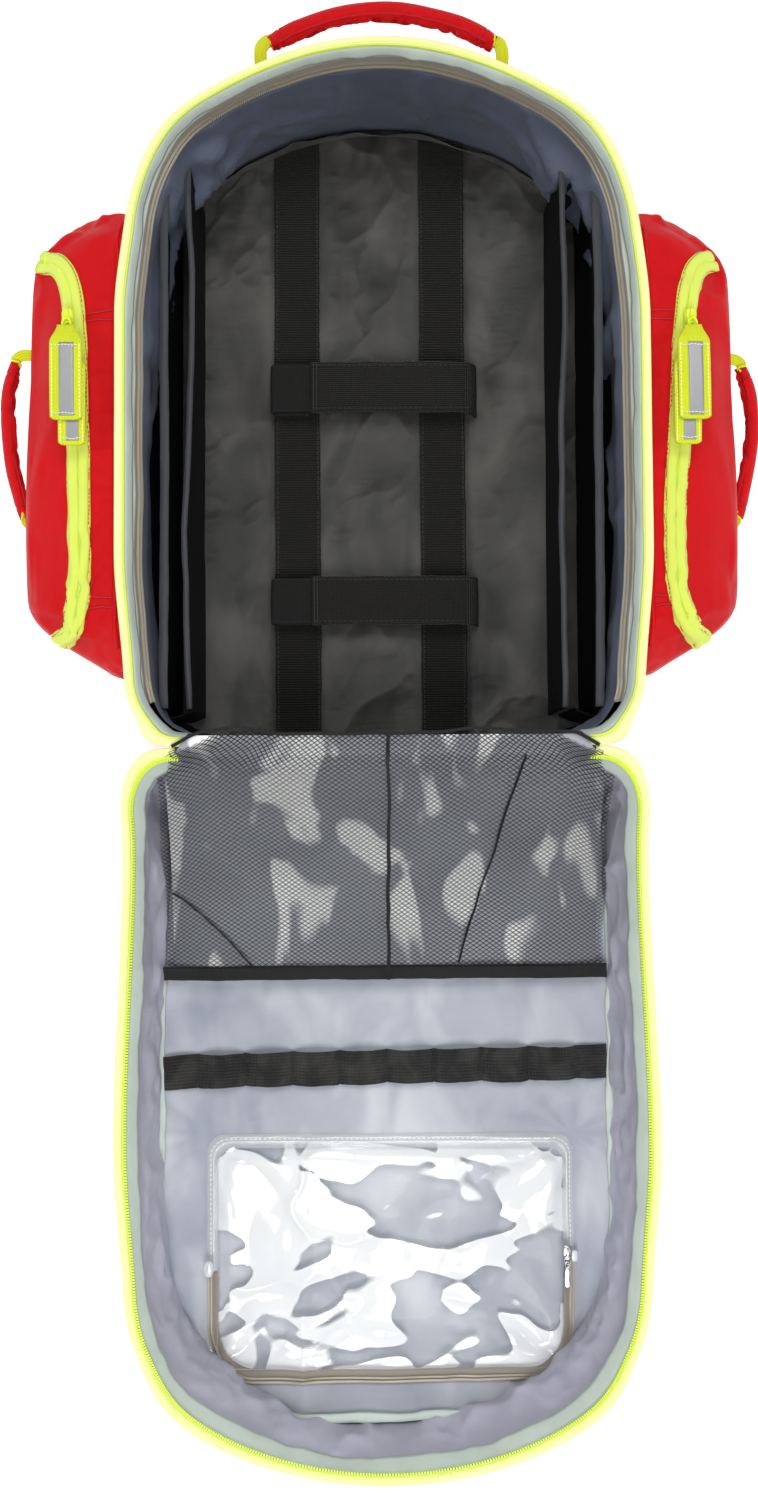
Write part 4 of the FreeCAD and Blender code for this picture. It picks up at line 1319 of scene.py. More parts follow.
# %% Panel hem
def hem_tube(name, path, radius, seed, body="lid", material=None, slot="pale_strip", flat=0.6):
    path = np.asarray(path, float)
    along = np.gradient(path, axis=0)
    along /= np.linalg.norm(along, axis=1)[:, None]
    side = np.cross(np.array([0, 0, 1.0]), along)
    side /= np.linalg.norm(side, axis=1)[:, None]
    up = np.cross(along, side)
    run = np.r_[0, np.cumsum(np.linalg.norm(np.diff(path, axis=0), axis=1))]
    rows = []
    for angle in np.linspace(0, 2 * math.pi, 12, endpoint=False):
        swell = radius * (1 + 0.30 * layered(run * 55, run * 0 + math.cos(angle) + 3, seed))
        rows.append(
            path + side * (math.cos(angle) * swell)[:, None] + up * (flat * math.sin(angle) * swell)[:, None],
        )
    piece = grid_piece(name, np.array(rows), close_v=True, caps=True)
    return finish_piece(piece, body, material or PALE_STRIP, slot)


def lid_edge_path(side, near, far, count=170):
    d = np.linspace(near, far, count)
    x = np.minimum(
        PANEL_HALF + 0.001, half_at(d - HINGE_GAP, 0.0175)) + 0.0014 * layered(d * 28, d * 0,
        171 + side,
    )
    z = lid_panel_z(x * side, d) + 0.0012 + 0.0022 * (1 - ease(d, near, near + 0.03))
    return np.c_[x * side, HINGE_Y - d, z]


for side, sign in (("left", -1), ("right", 1)):
    hem_tube(f"panel_hem_{side}", lid_edge_path(sign, 0.060, 0.470), 0.0034, 173 + sign)
x = np.linspace(-0.136, 0.136, 170)
far_edge = np.minimum(
    PANEL_FAR, outline_ends(x, 0.017)[1] + HINGE_GAP) + 0.0012 * layered(x * 26, x * 0, 175,
)
z = lid_panel_z(x, np.minimum(far_edge, PANEL_FAR)) + 0.0010
hem_tube("panel_hem_far", np.c_[x, HINGE_Y - far_edge, z], 0.0036, 176)

# %% [markdown]
# ## The mesh pocket
#
# The net is real geometry: a skin of small diamonds turned into strands. It hangs from the hinge edge, where
# it is gathered, down to a flat ribbon. Where two layers of net fold over each other it looks darker.

# %% Net surface
MESH_FAR = 0.1720


def net_z(x, d):
    t = np.clip((d - 0.006) / (MESH_FAR - 0.006), 0, 1)
    hang = 0.1035 + 0.0682 * (1 - t) ** 2.1
    loose = np.sin(math.pi * np.clip(t, 0, 1)) ** 0.7
    waves = 0.0040 * layered(x * 16 + d * 6, d * 7, 181) + 0.0030 * creases(x * 11 - d * 9, d * 5, 182, 4)
    edge = ease(0.172 - np.abs(x), 0.0, 0.03)
    over = 0.0024 * (1 - ease(d, 0.004, 0.022))
    return hang + loose * waves * edge - 0.004 * (1 - edge) + over


def top_edge(x):
    """Where the net's near edge lies, a little over the hinge: it is gathered in two places."""
    peaks = np.exp(-((x + 0.108) / 0.018) ** 2) + 0.7 * np.exp(-((x - 0.068) / 0.022) ** 2)
    corner = 0.012 * ease(np.abs(x), 0.135, 0.168)
    return -0.0088 - 0.0045 * peaks + corner + 0.0010 * layered(x * 30, x * 0, 183)


def net_piece(name, x_low, x_high, near, far, strand, cell=(0.0050, 0.0033)):
    """Strands of a diamond net between x_low and x_high."""
    across = int((x_high - x_low) / cell[0])
    rows = int((far - min(near, -0.006)) / cell[1])
    verts, index, faces = [], {}, []

    def vert(i, j):
        key = (i, j)
        if key not in index:
            x = x_low + (x_high - x_low) * i / (2 * across)
            start = top_edge(np.array([x]))[0] if near < 0 else near
            t = j / (2 * rows)
            d = start + (far - start) * t
            x = x + 0.0016 * math.sin(d * 70 + x * 40) * t * (1 - t) * 4
            x = x * (1 - 0.098 * (1 - float(ease(d, -0.004, 0.020))))
            z = float(net_z(np.array([x]), np.array([d]))[0])
            over = max(0.0, -d + 0.004)
            verts.append((x, HINGE_Y - d, z - over * 0.12))
            index[key] = len(verts) - 1
        return index[key]

    for j in range(2 * rows - 1):
        for i in range(2 * across - 1):
            if (i + j) % 2 == 0 and j + 2 <= 2 * rows:
                faces.append((vert(i + 1, j), vert(i + 2, j + 1) if i + 2 <= 2 * across else vert(i + 1, j),
                              vert(i + 1, j + 2), vert(i, j + 1)))
    faces = [f for f in faces if len(set(f)) == 4]
    piece = new_piece(name, verts, faces, [(v[0], v[1]) for v in verts], smooth=False)
    wire = piece.modifiers.new("strands", "WIREFRAME")
    wire.thickness = strand
    wire.use_even_offset = False
    return apply_modifiers(piece)


# %% [markdown]
# The net, the satin behind it and its edge are baked in place and attached to neither half.

# %% Net, backing and edge
def over_hinge(piece):
    """Bake the piece's placement into its mesh; the piece is attached to neither the body nor the lid."""
    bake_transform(piece)


net = net_piece("mesh_net", -0.172, 0.172, -0.004, MESH_FAR, 0.00085)
over_hinge(finish_piece(net, None, MESH_YARN, "black_mesh", ["mesh_pocket"]))
d = np.linspace(-0.0075, MESH_FAR + 0.002, 130)[:, None]
x = np.linspace(-1, 1, 240)[None, :] * (0.166 - 0.015 * (1 - ease(d, -0.004, 0.020)))
d = np.broadcast_to(d, x.shape)
down = 0.0022 + 0.0035 * np.abs(layered(x * 14, d * 10, 184)) * ease(d, 0.006, 0.03)
down = down + 0.0030 * np.abs(creases(x * 10 - d * 5, d * 6, 191, 4)) * ease(d, 0.01, 0.04)
behind = grid_piece(
    "mesh_backing", np.dstack([x, HINGE_Y - d, np.maximum(net_z(x, d) - down, LID_PANEL_Z - 0.001)]),
)
over_hinge(finish_piece(behind, None, NET_SATIN, "grey_satin"))
edge_x = np.linspace(-0.158, 0.158, 200)
edge_d = top_edge(edge_x)
edge_path = np.c_[edge_x, HINGE_Y - edge_d, net_z(edge_x, edge_d) + 0.0002]
net_edge = ribbon("mesh_edge", edge_path, fixed((0, 1, 0), 200), 0.0022, 0.0014, 0.0003, 192)
over_hinge(finish_piece(net_edge, None, BINDING, "black_mesh"))

# %% [markdown]
# The net ends in a flat ribbon. A seam runs down its middle, and folds show as darker lines.

# %% Net hem, seam and fold
count = 200
x = np.linspace(-0.1735, 0.1735, count)
hem_path = np.c_[x, np.full(count, HINGE_Y - 0.1752) + 0.0006 * layered(x * 12, x * 0, 185), np.full(count, 0.1030)]
hem = ribbon("mesh_hem", hem_path, fixed((0, 1, 0), count), 0.0105, 0.0016, 0.0005, 186, crown=0.0010)
finish_piece(hem, "lid", BINDING, "black_webbing", ["mesh_pocket_hem"])
seam = []
for sx in np.arange(-0.171, 0.172, 0.0036):
    seam.append((sx, HINGE_Y - 0.1718, 0.1047))
seam = many_boxes("mesh_hem_seam", seam, (0.0024, 0.0005, 0.0005), fixed((1, 0, 0), len(seam)))
finish_piece(seam, "lid", BLACK_THREAD, "black_webbing")
d = np.linspace(-0.0075, 0.181, 120)
rib_path = np.c_[0.0025 + 0.0022 * layered(d * 22, d * 0, 187), HINGE_Y - d, net_z(np.full(120, 0.0025), d) + 0.0008]
rib_path[:, 2] = np.maximum(rib_path[:, 2], 0.1042)
rib = ribbon("mesh_rib", rib_path, fixed((1, 0, 0), 120), 0.0026, 0.0010, 0.0004, 188)
over_hinge(finish_piece(rib, None, BINDING, "black_mesh"))
d = np.linspace(0.009, 0.168, 120)
fold_x = 0.106 + (0.057 - 0.106) * (d / 0.168) + 0.0016 * layered(d * 24, d * 0, 193)
fold_path = np.c_[fold_x, HINGE_Y - d, net_z(fold_x, d) + 0.0012]
fold = ribbon("mesh_fold", fold_path, fixed((1, 0.2, 0), 120), 0.0016, 0.0006, 0.0003, 189)
finish_piece(fold, "lid", MESH_YARN, "black_mesh")
d = np.linspace(0.112, 0.170, 90)
fold_x = -0.166 + 0.062 * ((d - 0.112) / 0.058) ** 0.8
fold_path = np.c_[fold_x, HINGE_Y - d, net_z(fold_x, d) + 0.0012]
fold = ribbon("mesh_fold_left", fold_path, fixed((1, 0.4, 0), 90), 0.0012, 0.0006, 0.0003, 190)
finish_piece(fold, "lid", MESH_YARN, "black_mesh")

# %% [markdown]
# ## Elastic loops
#
# One long elastic is sewn down every few centimetres and a little longer than the panel between the seams,
# so it stands up in low loops.

# %% Elastic band
BAND_HALF = 0.174
FIRST_SEAM = -0.148
SEAM_PITCH = 0.03725
LOOP_SEAMS = [-BAND_HALF] + [FIRST_SEAM + SEAM_PITCH * k for k in range(9)] + [BAND_HALF]
points = []
for a, b in zip(LOOP_SEAMS[:-1], LOOP_SEAMS[1:]):
    t = np.linspace(0, 1, 24, endpoint=False)
    tall = 0.0078 if b - a > 0.030 else 0.0030
    points.append(np.c_[a + (b - a) * t, tall * np.sin(math.pi * t) ** 0.55])
points = np.vstack(points + [[LOOP_SEAMS[-1], 0]])
slant = 0.254 - 0.0065 * (points[:, 0] + 0.175) / 0.35
base = lid_panel_z(points[:, 0], slant)
elastic_path = np.c_[points[:, 0], HINGE_Y - slant, base + 0.0012 + points[:, 1]]
elastic = ribbon("elastic_band", elastic_path, fixed((0, 1, 0), len(points)), 0.0262, 0.0013, 0.0007, 195)
finish_piece(elastic, "lid", ELASTIC, "elastic", ["elastic_loops"])
stitches = []
for sx in LOOP_SEAMS[1:-1]:
    middle = 0.254 - 0.0065 * (sx + 0.175) / 0.35
    for sd in np.arange(-0.0115, 0.0118, 0.0022):
        stitches.append(
            (sx, HINGE_Y - middle - sd, float(lid_panel_z(np.array([sx]), np.array([middle]))[0]) + 0.0024),
        )
stitches = many_boxes(
    "elastic_stitches", stitches, (0.0016, 0.0009, 0.0007), fixed((0.1, 1, 0), len(stitches)),
)
finish_piece(stitches, "lid", BLACK_THREAD, "elastic")

# %% [markdown]
# ## The clear pocket
#
# Soft film, welded along its near side and zipped round the other three. The film is thick enough to hold
# creases. Its white flashes are painted reflections: noise patches where the film turns nearly opaque white.
# Under it nothing hides the satin panel.

# %% Clear pocket film
POCKET_MID = (0.003, 0.3955)
POCKET_HALF = (0.1430, 0.0905)


def rounded_frame(half_x, half_d, radius, count):
    """Points round a rounded rectangle, starting at the middle of its near side."""
    path = []
    corners = [(half_x, -half_d), (half_x, half_d), (-half_x, half_d), (-half_x, -half_d)]
    starts = [-math.pi / 2, 0, math.pi / 2, math.pi]
    for (cx, cd), start in zip(corners, starts):
        cx, cd = cx - math.copysign(radius, cx), cd - math.copysign(radius, cd)
        for a in np.linspace(start, start + math.pi / 2, 24):
            path.append((cx + radius * math.cos(a), cd + radius * math.sin(a)))
    path = np.array([(0, -half_d)] + path + [(0, -half_d)])
    run = np.r_[0, np.cumsum(np.linalg.norm(np.diff(path, axis=0), axis=1))]
    even = np.linspace(0, run[-1], count)
    return np.c_[np.interp(even, run, path[:, 0]), np.interp(even, run, path[:, 1])]


def pocket_base(x, d):
    return lid_panel_z(x, d) + 0.0008


def film_piece(name, inset, puff, seed):
    rows, columns = 130, 190
    s = np.linspace(-1, 1, columns)[None, :] + np.zeros((rows, 1))
    t = np.linspace(-1, 1, rows)[:, None] + np.zeros((1, columns))
    square = np.maximum(np.abs(s), np.abs(t)) + 1e-9
    power = 9
    scale = square / (np.abs(s) ** power + np.abs(t) ** power) ** (1 / power)
    x = POCKET_MID[0] + s * scale * (POCKET_HALF[0] - inset)
    d = POCKET_MID[1] + t * scale * (POCKET_HALF[1] - inset)
    edge = ease(1 - np.abs(s), 0, 0.10) * ease(1 - np.abs(t), 0, 0.16)
    big = np.abs(layered(x * 13 + d * 5, d * 15 - x * 4, seed, 2))
    folds = creases(x * 10 - d * 8, d * 12 + x * 7, seed + 1, 8) * 0.0028
    z = pocket_base(x, d) + 0.0012 + edge * (puff * (0.55 + 0.9 * big) + folds)
    return grid_piece(name, np.dstack([x, HINGE_Y - d, z]))


film = film_piece("clear_film", 0.004, 0.0068, 201)
finish_piece(film, "lid", FILM, "clear_film", ["clear_pocket"])

ring = rounded_frame(POCKET_HALF[0], POCKET_HALF[1], 0.014, 420)
centre = np.array(POCKET_MID)


def ring_rows(offsets):
    """Profile rows round the pocket: (distance inside its edge, height over the panel)."""
    rows = []
    for inside, rise in offsets:
        scale = np.array(
            [(POCKET_HALF[0] - inside) / POCKET_HALF[0], (POCKET_HALF[1] - inside) / POCKET_HALF[1]],
        )
        flat = centre + ring * scale
        z = pocket_base(flat[:, 0], flat[:, 1]) + rise
        rows.append(np.c_[flat[:, 0], HINGE_Y - flat[:, 1], z])
    return np.array(rows)


film_edge = grid_piece(
    "clear_film_edge", ring_rows([(-0.0015, 0.0), (0.0, 0.0020), (0.0022, 0.0030), (0.0045, 0.0026,
),
                                                     (0.0062, 0.0038), (0.0080, 0.0075)]))
finish_piece(film_edge, "lid", FILM_EDGE, "clear_film")
welt = grid_piece(
    "clear_film_welt",
    ring_rows([(0.0030, 0.0030), (0.0036, 0.0040), (0.0044, 0.0040), (0.0050, 0.0030)]),
)
finish_piece(welt, "lid", FILM_EDGE, "clear_film")
seam = ring_rows([(0.0018, 0.0031)])[0]
run = np.r_[0, np.cumsum(np.linalg.norm(np.diff(seam, axis=0), axis=1))]
even = np.arange(0, run[-1], 0.0038)
spots = np.c_[[np.interp(even, run, seam[:, k]) for k in range(3)]].T
stitches = many_boxes("clear_film_seam", spots, (0.0024, 0.0005, 0.0005), np.gradient(spots, axis=0))
finish_piece(stitches, "lid", WHITE_THREAD, "clear_film")

# %% [markdown]
# Its zip is a U: down the left side, along the far side and up the right one, with generous corners.

# %% Clear pocket zip
def zip_u(inset, near_left, near_right, count=420):
    loop = rounded_frame(POCKET_HALF[0] - inset, POCKET_HALF[1] - inset, 0.033, 1600)
    loop = loop + centre
    keep = [p for p in loop if (p[1] > near_right if p[0] > 0 else p[1] > near_left)]
    path = np.array(keep)
    run = np.r_[0, np.cumsum(np.linalg.norm(np.diff(path, axis=0), axis=1))]
    even = np.linspace(0, run[-1], count)
    return np.c_[np.interp(even, run, path[:, 0]), np.interp(even, run, path[:, 1])]


u_path = zip_u(0.0030, 0.409, 0.402)
along = np.gradient(u_path, axis=0)
along /= np.linalg.norm(along, axis=1)[:, None]
outside = np.c_[along[:, 1], -along[:, 0]]


def u_rows(offsets):
    rows = []
    for out, rise in offsets:
        flat = u_path + outside * out
        z = pocket_base(flat[:, 0], flat[:, 1]) + rise
        rows.append(np.c_[flat[:, 0], HINGE_Y - flat[:, 1], z])
    return np.array(rows)


u_tape = grid_piece(
    "pocket_zip_tape", u_rows([(-0.0046, 0.0058), (-0.0030, 0.0052), (-0.001, 0.0046), (0.0008, 0.0044,
),
                                               (0.0022, 0.0042), (0.0034, 0.0030)]), thick=0.0006)
finish_piece(u_tape, "lid", OLIVE_TAPE, "olive_coil", ["clear_pocket_zip"])
run = np.r_[0, np.cumsum(np.linalg.norm(np.diff(u_path, axis=0), axis=1))]
even = np.arange(0, run[-1], 0.0016)
for number, (out, skew) in enumerate(((0.0006, 0.7), (0.0026, -0.7))):
    line = u_rows([(out, 0.0053)])[0]
    spots = np.c_[[np.interp(even, run, line[:, k]) for k in range(3)]].T
    way = np.gradient(spots, axis=0)
    way /= np.linalg.norm(way, axis=1)[:, None]
    side = np.cross(way, [0, 0, 1])
    coil = many_boxes(
        f"pocket_zip_coil_{number}", spots, (0.0026, 0.0009, 0.0013),
        way * math.cos(skew) + side * math.sin(skew),
    )
    finish_piece(coil, "lid", OLIVE_COIL, "olive_coil")
print(
    "clear pocket", round(2 * POCKET_HALF[0], 3), "x", round(2 * POCKET_HALF[1], 3), "m, zip",
    round(run[-1], 3), "m",
)

# %% [markdown]
# ## Cloth that was really inflated
#
# The pockets on the outside are filled bags. Each starts as a closed, slightly small shape; a short cloth
# simulation with inner pressure then lets the fabric find its own bulges and wrinkles. What is sewn to
# the bag is pinned. The simulated skin is box-projected afterwards, so the weave keeps its size.

# %% Inflating
def box_uvs(piece):
    """UVs in metres, taken from the side each face looks at most."""
    mesh = piece.data
    layer = mesh.uv_layers.new(name="metres") if not mesh.uv_layers else mesh.uv_layers[0]
    for face in mesh.polygons:
        axis = int(np.argmax(np.abs(face.normal)))
        pair = [k for k in range(3) if k != axis]
        for loop in face.loop_indices:
            place = mesh.vertices[mesh.loops[loop].vertex_index].co
            layer.data[loop].uv = (place[pair[0]], place[pair[1]])


def inflate(piece, pinned, grain=0.0055, pressure=4.0, frames=16, cap=0.010, levels=1):
    """Remesh a closed piece, blow it up as cloth and keep each point within cap of its start."""
    face_out(piece)
    remesh = piece.modifiers.new("even", "REMESH")
    remesh.mode = "VOXEL"
    remesh.voxel_size = grain
    apply_modifiers(piece)
    start = np.array([v.co[:] for v in piece.data.vertices])
    group = piece.vertex_groups.new(name="sewn")
    group.add([i for i, p in enumerate(start) if pinned(p)], 1.0, "REPLACE")
    cloth = piece.modifiers.new("cloth", "CLOTH")
    settings = cloth.settings
    settings.quality = 5
    settings.mass = 0.3
    settings.tension_stiffness = 12
    settings.compression_stiffness = 12
    settings.shear_stiffness = 6
    settings.bending_stiffness = 0.4
    settings.use_pressure = True
    settings.uniform_pressure_force = pressure
    settings.vertex_group_mass = "sewn"
    settings.shrink_min = -0.05
    settings.effector_weights.gravity = 0
    scene = bpy.context.scene
    for frame_number in range(1, frames + 1):
        scene.frame_set(frame_number)
    apply_modifiers(piece)
    scene.frame_set(1)
    moved = np.array([v.co[:] for v in piece.data.vertices]) - start
    far = np.linalg.norm(moved, axis=1)
    moved *= np.minimum(1, cap / np.maximum(far, 1e-9))[:, None]
    settled = start + moved
    piece.data.vertices.foreach_set("co", settled.ravel())
    print(piece.name, "moved at most", round(float(min(far.max(), cap)), 4), "m")
    soften(piece, levels)
    box_uvs(piece)
    piece.data.polygons.foreach_set("use_smooth", np.full(len(piece.data.polygons), True))
    return piece


# %% [markdown]
# ## Side pockets
#
# Each pocket is a deep bag on the side wall. In plan it bulges least near the hinge and the far end; in
# section its top is nearly flat, with the zip near the outer edge.

# %% Pocket bodies
POCKET_NEAR, POCKET_FAR = 0.0580, 0.4155
POCKET_BULGE = 0.2780
NEAR_CUT, NEAR_RUN = 0.070, 0.060
FAR_CUT, FAR_RUN = 0.0495, 0.0455


def pocket_edge(v):
    """Outer edge of a side pocket at v: a rounded near end, a long slight taper and a rounded far end."""
    near = np.sin(math.pi / 2 * np.clip((v - POCKET_NEAR) / NEAR_RUN, 0, 1)) ** 1.25
    far = np.clip((v - POCKET_FAR + FAR_RUN) / FAR_RUN, 0, 1) ** 1.7
    taper = 0.0045 * ease(v, 0.168, 0.366)
    return POCKET_BULGE - NEAR_CUT * (1 - near) - taper - FAR_CUT * far


def pocket_shape(name, sign, shrink=0.0):
    rows, columns = 40, 90
    angle = np.linspace(-math.pi / 2, math.pi / 2, rows)
    v = np.linspace(POCKET_NEAR, POCKET_FAR, columns)
    wall = HALF * drawn_in(v) - 0.0030
    wide = pocket_edge(v) - wall - shrink
    end = np.minimum(ease(v, 0.050, 0.092), ease(-v, -0.424, -0.392))
    tall = 0.0595 * (0.72 + 0.28 * end) - shrink
    grid = np.zeros((rows, columns, 3))
    for r, a in enumerate(angle):
        c, s = math.cos(a), math.sin(a)
        grid[r, :, 0] = sign * (wall + wide * abs(c) ** (2 / 3.4))
        grid[r, :, 1] = to_y(v)
        grid[r, :, 2] = 0.0893 + tall * math.copysign(abs(s) ** (2 / 3.0), s)
    verts = grid.reshape(-1, 3)
    faces = []
    for r in range(rows - 1):
        for c in range(columns - 1):
            faces.append(
                (r * columns + c, r * columns + c + 1, (r + 1) * columns + c + 1, (r + 1) * columns + c),
            )
    faces.append([r * columns for r in range(rows)])
    faces.append([r * columns + columns - 1 for r in reversed(range(rows))])
    faces.append([c for c in reversed(range(columns))] + [(rows - 1) * columns + c for c in range(columns)])
    return new_piece(name, verts, faces)


def surface_tree(piece):
    return BVHTree.FromObject(piece, bpy.context.evaluated_depsgraph_get())


def drop(tree, x, y, from_z=0.30):
    """Point and normal where a ray from above meets the surface."""
    hit, normal, index, distance = tree.ray_cast(Vector((x, y, from_z)), Vector((0, 0, -1)))
    return (hit, normal) if hit else (None, None)


def nearest(tree, point):
    hit, normal, index, distance = tree.find_nearest(Vector(point))
    return np.array(hit), np.array(normal)


POCKET_TREES = {}
for side, sign in (("left", -1), ("right", 1)):
    pocket = pocket_shape(f"side_pocket_{side}", sign, 0.0015)
    inflate(
        pocket, lambda p: abs(p[0]) < HALF * drawn_in(p[1] - HINGE_Y) + 0.004, grain=0.0050,
        pressure=3.0, cap=0.005,
    )
    finish_piece(pocket, "main_body", RED, "red_fabric", [f"side_pocket_{side}"])
    POCKET_TREES[side] = surface_tree(pocket)

# %% [markdown]
# Seams on a pocket are folds with a line of stitches. A strip laid on the surface stands for the fold.

# %% Strips on a pocket
def laid_ribbon(name, tree, path, width, lift, thick, rows=9, crown=0.0, seed=1, wobble=0.0):
    """A ribbon that lies on a surface: every point is brought to the nearest spot and lifted."""
    path = np.asarray(path, float)
    along = np.gradient(path, axis=0)
    along /= np.linalg.norm(along, axis=1)[:, None]
    spots, normals = zip(*[nearest(tree, p) for p in path])
    normals = np.array(normals)
    for _ in range(6):
        normals = (np.vstack([normals[:1], normals[:-1]]) + normals * 2 + np.vstack([normals[1:], normals[-1:]])) / 4
    side = np.cross(along, normals)
    side /= np.linalg.norm(side, axis=1)[:, None]
    run = np.r_[0, np.cumsum(np.linalg.norm(np.diff(path, axis=0), axis=1))]
    grid = np.zeros((rows, len(path), 3))
    for r, t in enumerate(np.linspace(-0.5, 0.5, rows)):
        sway = wobble * layered(run * 40, run * 0 + 2, seed)
        flat = np.array(spots) + side * (t * width + sway)[:, None]
        for c, point in enumerate(flat):
            spot, normal = nearest(tree, point)
            grid[r, c] = spot + normals[c] * (lift + crown * (1 - (2 * t) ** 2))
    for _ in range(2):
        grid[:, 1:-1] = (grid[:, :-2] + 2 * grid[:, 1:-1] + grid[:, 2:]) / 4
    return grid_piece(name, grid, thick=thick), grid


def resample(path, step):
    path = np.asarray(path, float)
    run = np.r_[0, np.cumsum(np.linalg.norm(np.diff(path, axis=0), axis=1))]
    even = np.arange(0, run[-1], step)
    return np.c_[[np.interp(even, run, path[:, k]) for k in range(path.shape[1])]].T


def smooth_path(points, count):
    """A smooth curve through a few points (Catmull-Rom)."""
    points = np.asarray(points, float)
    padded_points = np.vstack([2 * points[0] - points[1], points, 2 * points[-1] - points[-2]])
    out = []
    each = max(2, count // (len(points) - 1))
    for i in range(len(points) - 1):
        p0, p1, p2, p3 = padded_points[i:i + 4]
        for t in np.linspace(0, 1, each, endpoint=False):
            out.append(0.5 * ((2 * p1) + (p2 - p0) * t + (2 * p0 - 5 * p1 + 4 * p2 - p3) * t ** 2
                              + (-p0 + 3 * p1 - 3 * p2 + p3) * t ** 3))
    out.append(points[-1])
    return np.array(out)


# %% [markdown]
# The pocket's zip has two wide neon tapes that nearly meet over the coil, so only a groove shows. It curls
# outwards and over the edge at both ends.

# %% Side pocket zips
ZIP_MIDDLE, ZIP_HALF = 0.2275, 0.1515
ZIP_LOW, ZIP_RISE = 0.118, 0.034
ZIP_SPREAD = 0.0055
ZIP_DIMS = {"left": (0.2570, 0.0262, 0.0238), "right": (0.2520, 0.0297, 0.0230)}


def zip_x(side, sign, v):
    """X of a pocket's zip at v: outermost at both ends, and deep in from there between them."""
    outer, deep_near, deep_far = ZIP_DIMS[side]
    away = np.minimum(np.abs(v - ZIP_MIDDLE) / ZIP_HALF, 1)
    deep = deep_near + (deep_far - deep_near) * ease(v, 0.156, 0.318)
    outer = outer + ZIP_SPREAD * (v - ZIP_MIDDLE + ZIP_HALF) / (2 * ZIP_HALF)
    return sign * (outer - deep * (1 - away ** 7) ** 0.75)


def zip_points(side, sign, count=21):
    """Points along a pocket's zip, from its far end to its near end."""
    share = np.cos(np.linspace(0, math.pi, count))
    v = ZIP_MIDDLE + ZIP_HALF * share
    z = ZIP_LOW + ZIP_RISE * (1 - np.abs(share) ** 16) ** 0.4
    return [tuple(p) for p in np.c_[zip_x(side, sign, v), to_y(v), z]]


for side, sign in (("left", -1), ("right", 1)):
    tree = POCKET_TREES[side]
    line = smooth_path(zip_points(side, sign), 200)
    base, _ = laid_ribbon(f"pocket_zip_base_{side}", tree, line, 0.0185, 0.0010, 0.0008, rows=9)
    finish_piece(base, "main_body", LIME_TAPE, "lime_tape", [f"side_pocket_{side}_zip"])
    way = np.gradient(line, axis=0)
    way /= np.linalg.norm(way, axis=1)[:, None]
    sideways = np.cross(way, [0, 0, 1.0])
    sideways /= np.linalg.norm(sideways, axis=1)[:, None]
    for flank in (-1, 1):
        lip, _ = laid_ribbon(f"pocket_zip_lip_{side}_{'a' if flank < 0 else 'b'}", tree, line + sideways * flank * 0.0043,
                             0.0076, 0.0019, 0.0009, rows=9, crown=0.0012, seed=211, wobble=0.0002)
        finish_piece(lip, "main_body", LIME_TAPE, "lime_tape")
        for offset, material, size in ((0.0088, RED_THREAD, 0.0006), (0.0066, LIME_EDGE, 0.0005)):
            seam_line = resample(line + sideways * flank * offset, 0.0034)
            spots = []
            for p in seam_line:
                spot, normal = nearest(tree, p)
                spots.append(spot + normal * (0.0022 if offset < 0.008 else 0.0012))
            seam = many_boxes(f"pocket_zip_seam_{side}_{'a' if flank < 0 else 'b'}_{int(offset * 1e4)}", spots,
                              (0.0024, size, size), np.gradient(np.array(spots), axis=0))
            finish_piece(seam, "main_body", material, "lime_tape")
    coil_line = resample(line, 0.0017)
    spots = np.array([np.array(nearest(tree, p)[0]) + nearest(tree, p)[1] * 0.0020 for p in coil_line])
    coil = many_boxes(f"pocket_zip_coil_{side}", spots, (0.0022, 0.0007, 0.0010),
                      np.cross(np.gradient(spots, axis=0), [0, 0, 1.0]))
    finish_piece(coil, "main_body", LIME_COIL, "lime_coil")
    for number, (v, reach) in enumerate(((0.330, 1), (0.110, 1))):
        for shift in (-0.0035, 0.0035):
            x_in, x_out = HALF + 0.003, abs(np.interp(v, [0.08, 0.11, 0.33, 0.37], [0.242, 0.236, 0.238, 0.244])) - 0.010
            path = np.c_[np.linspace(x_in, x_out, 30) * sign, np.full(30, to_y(v + shift)), np.full(30, 0.150)]
            fold, _ = laid_ribbon(f"pocket_fold_{side}_{number}_{'a' if shift < 0 else 'b'}", tree, path, 0.0012, 0.0004,
                                  0.0006, rows=4, crown=0.0004)
            finish_piece(fold, "main_body", RED_THREAD, "red_fabric")
    edge_path = smooth_path([(sign * 0.2040, to_y(v), 0.147) for v in (0.072, 0.15, 0.25, 0.35, 0.405)], 90)
    edge, _ = laid_ribbon(f"pocket_wall_seam_{side}", tree, edge_path, 0.0030, 0.0006, 0.0008, rows=5, crown=0.0008, seed=213)
    finish_piece(edge, "main_body", RED, "red_fabric")

# %% [markdown]
# ## Sliders and pull tabs
#
# A slider is a small cast body with two channels, a bridge and a ring. The pull tab is ribbed neon webbing
# folded over a grey reflective stripe, narrowed at the neck and sewn across at both ends.

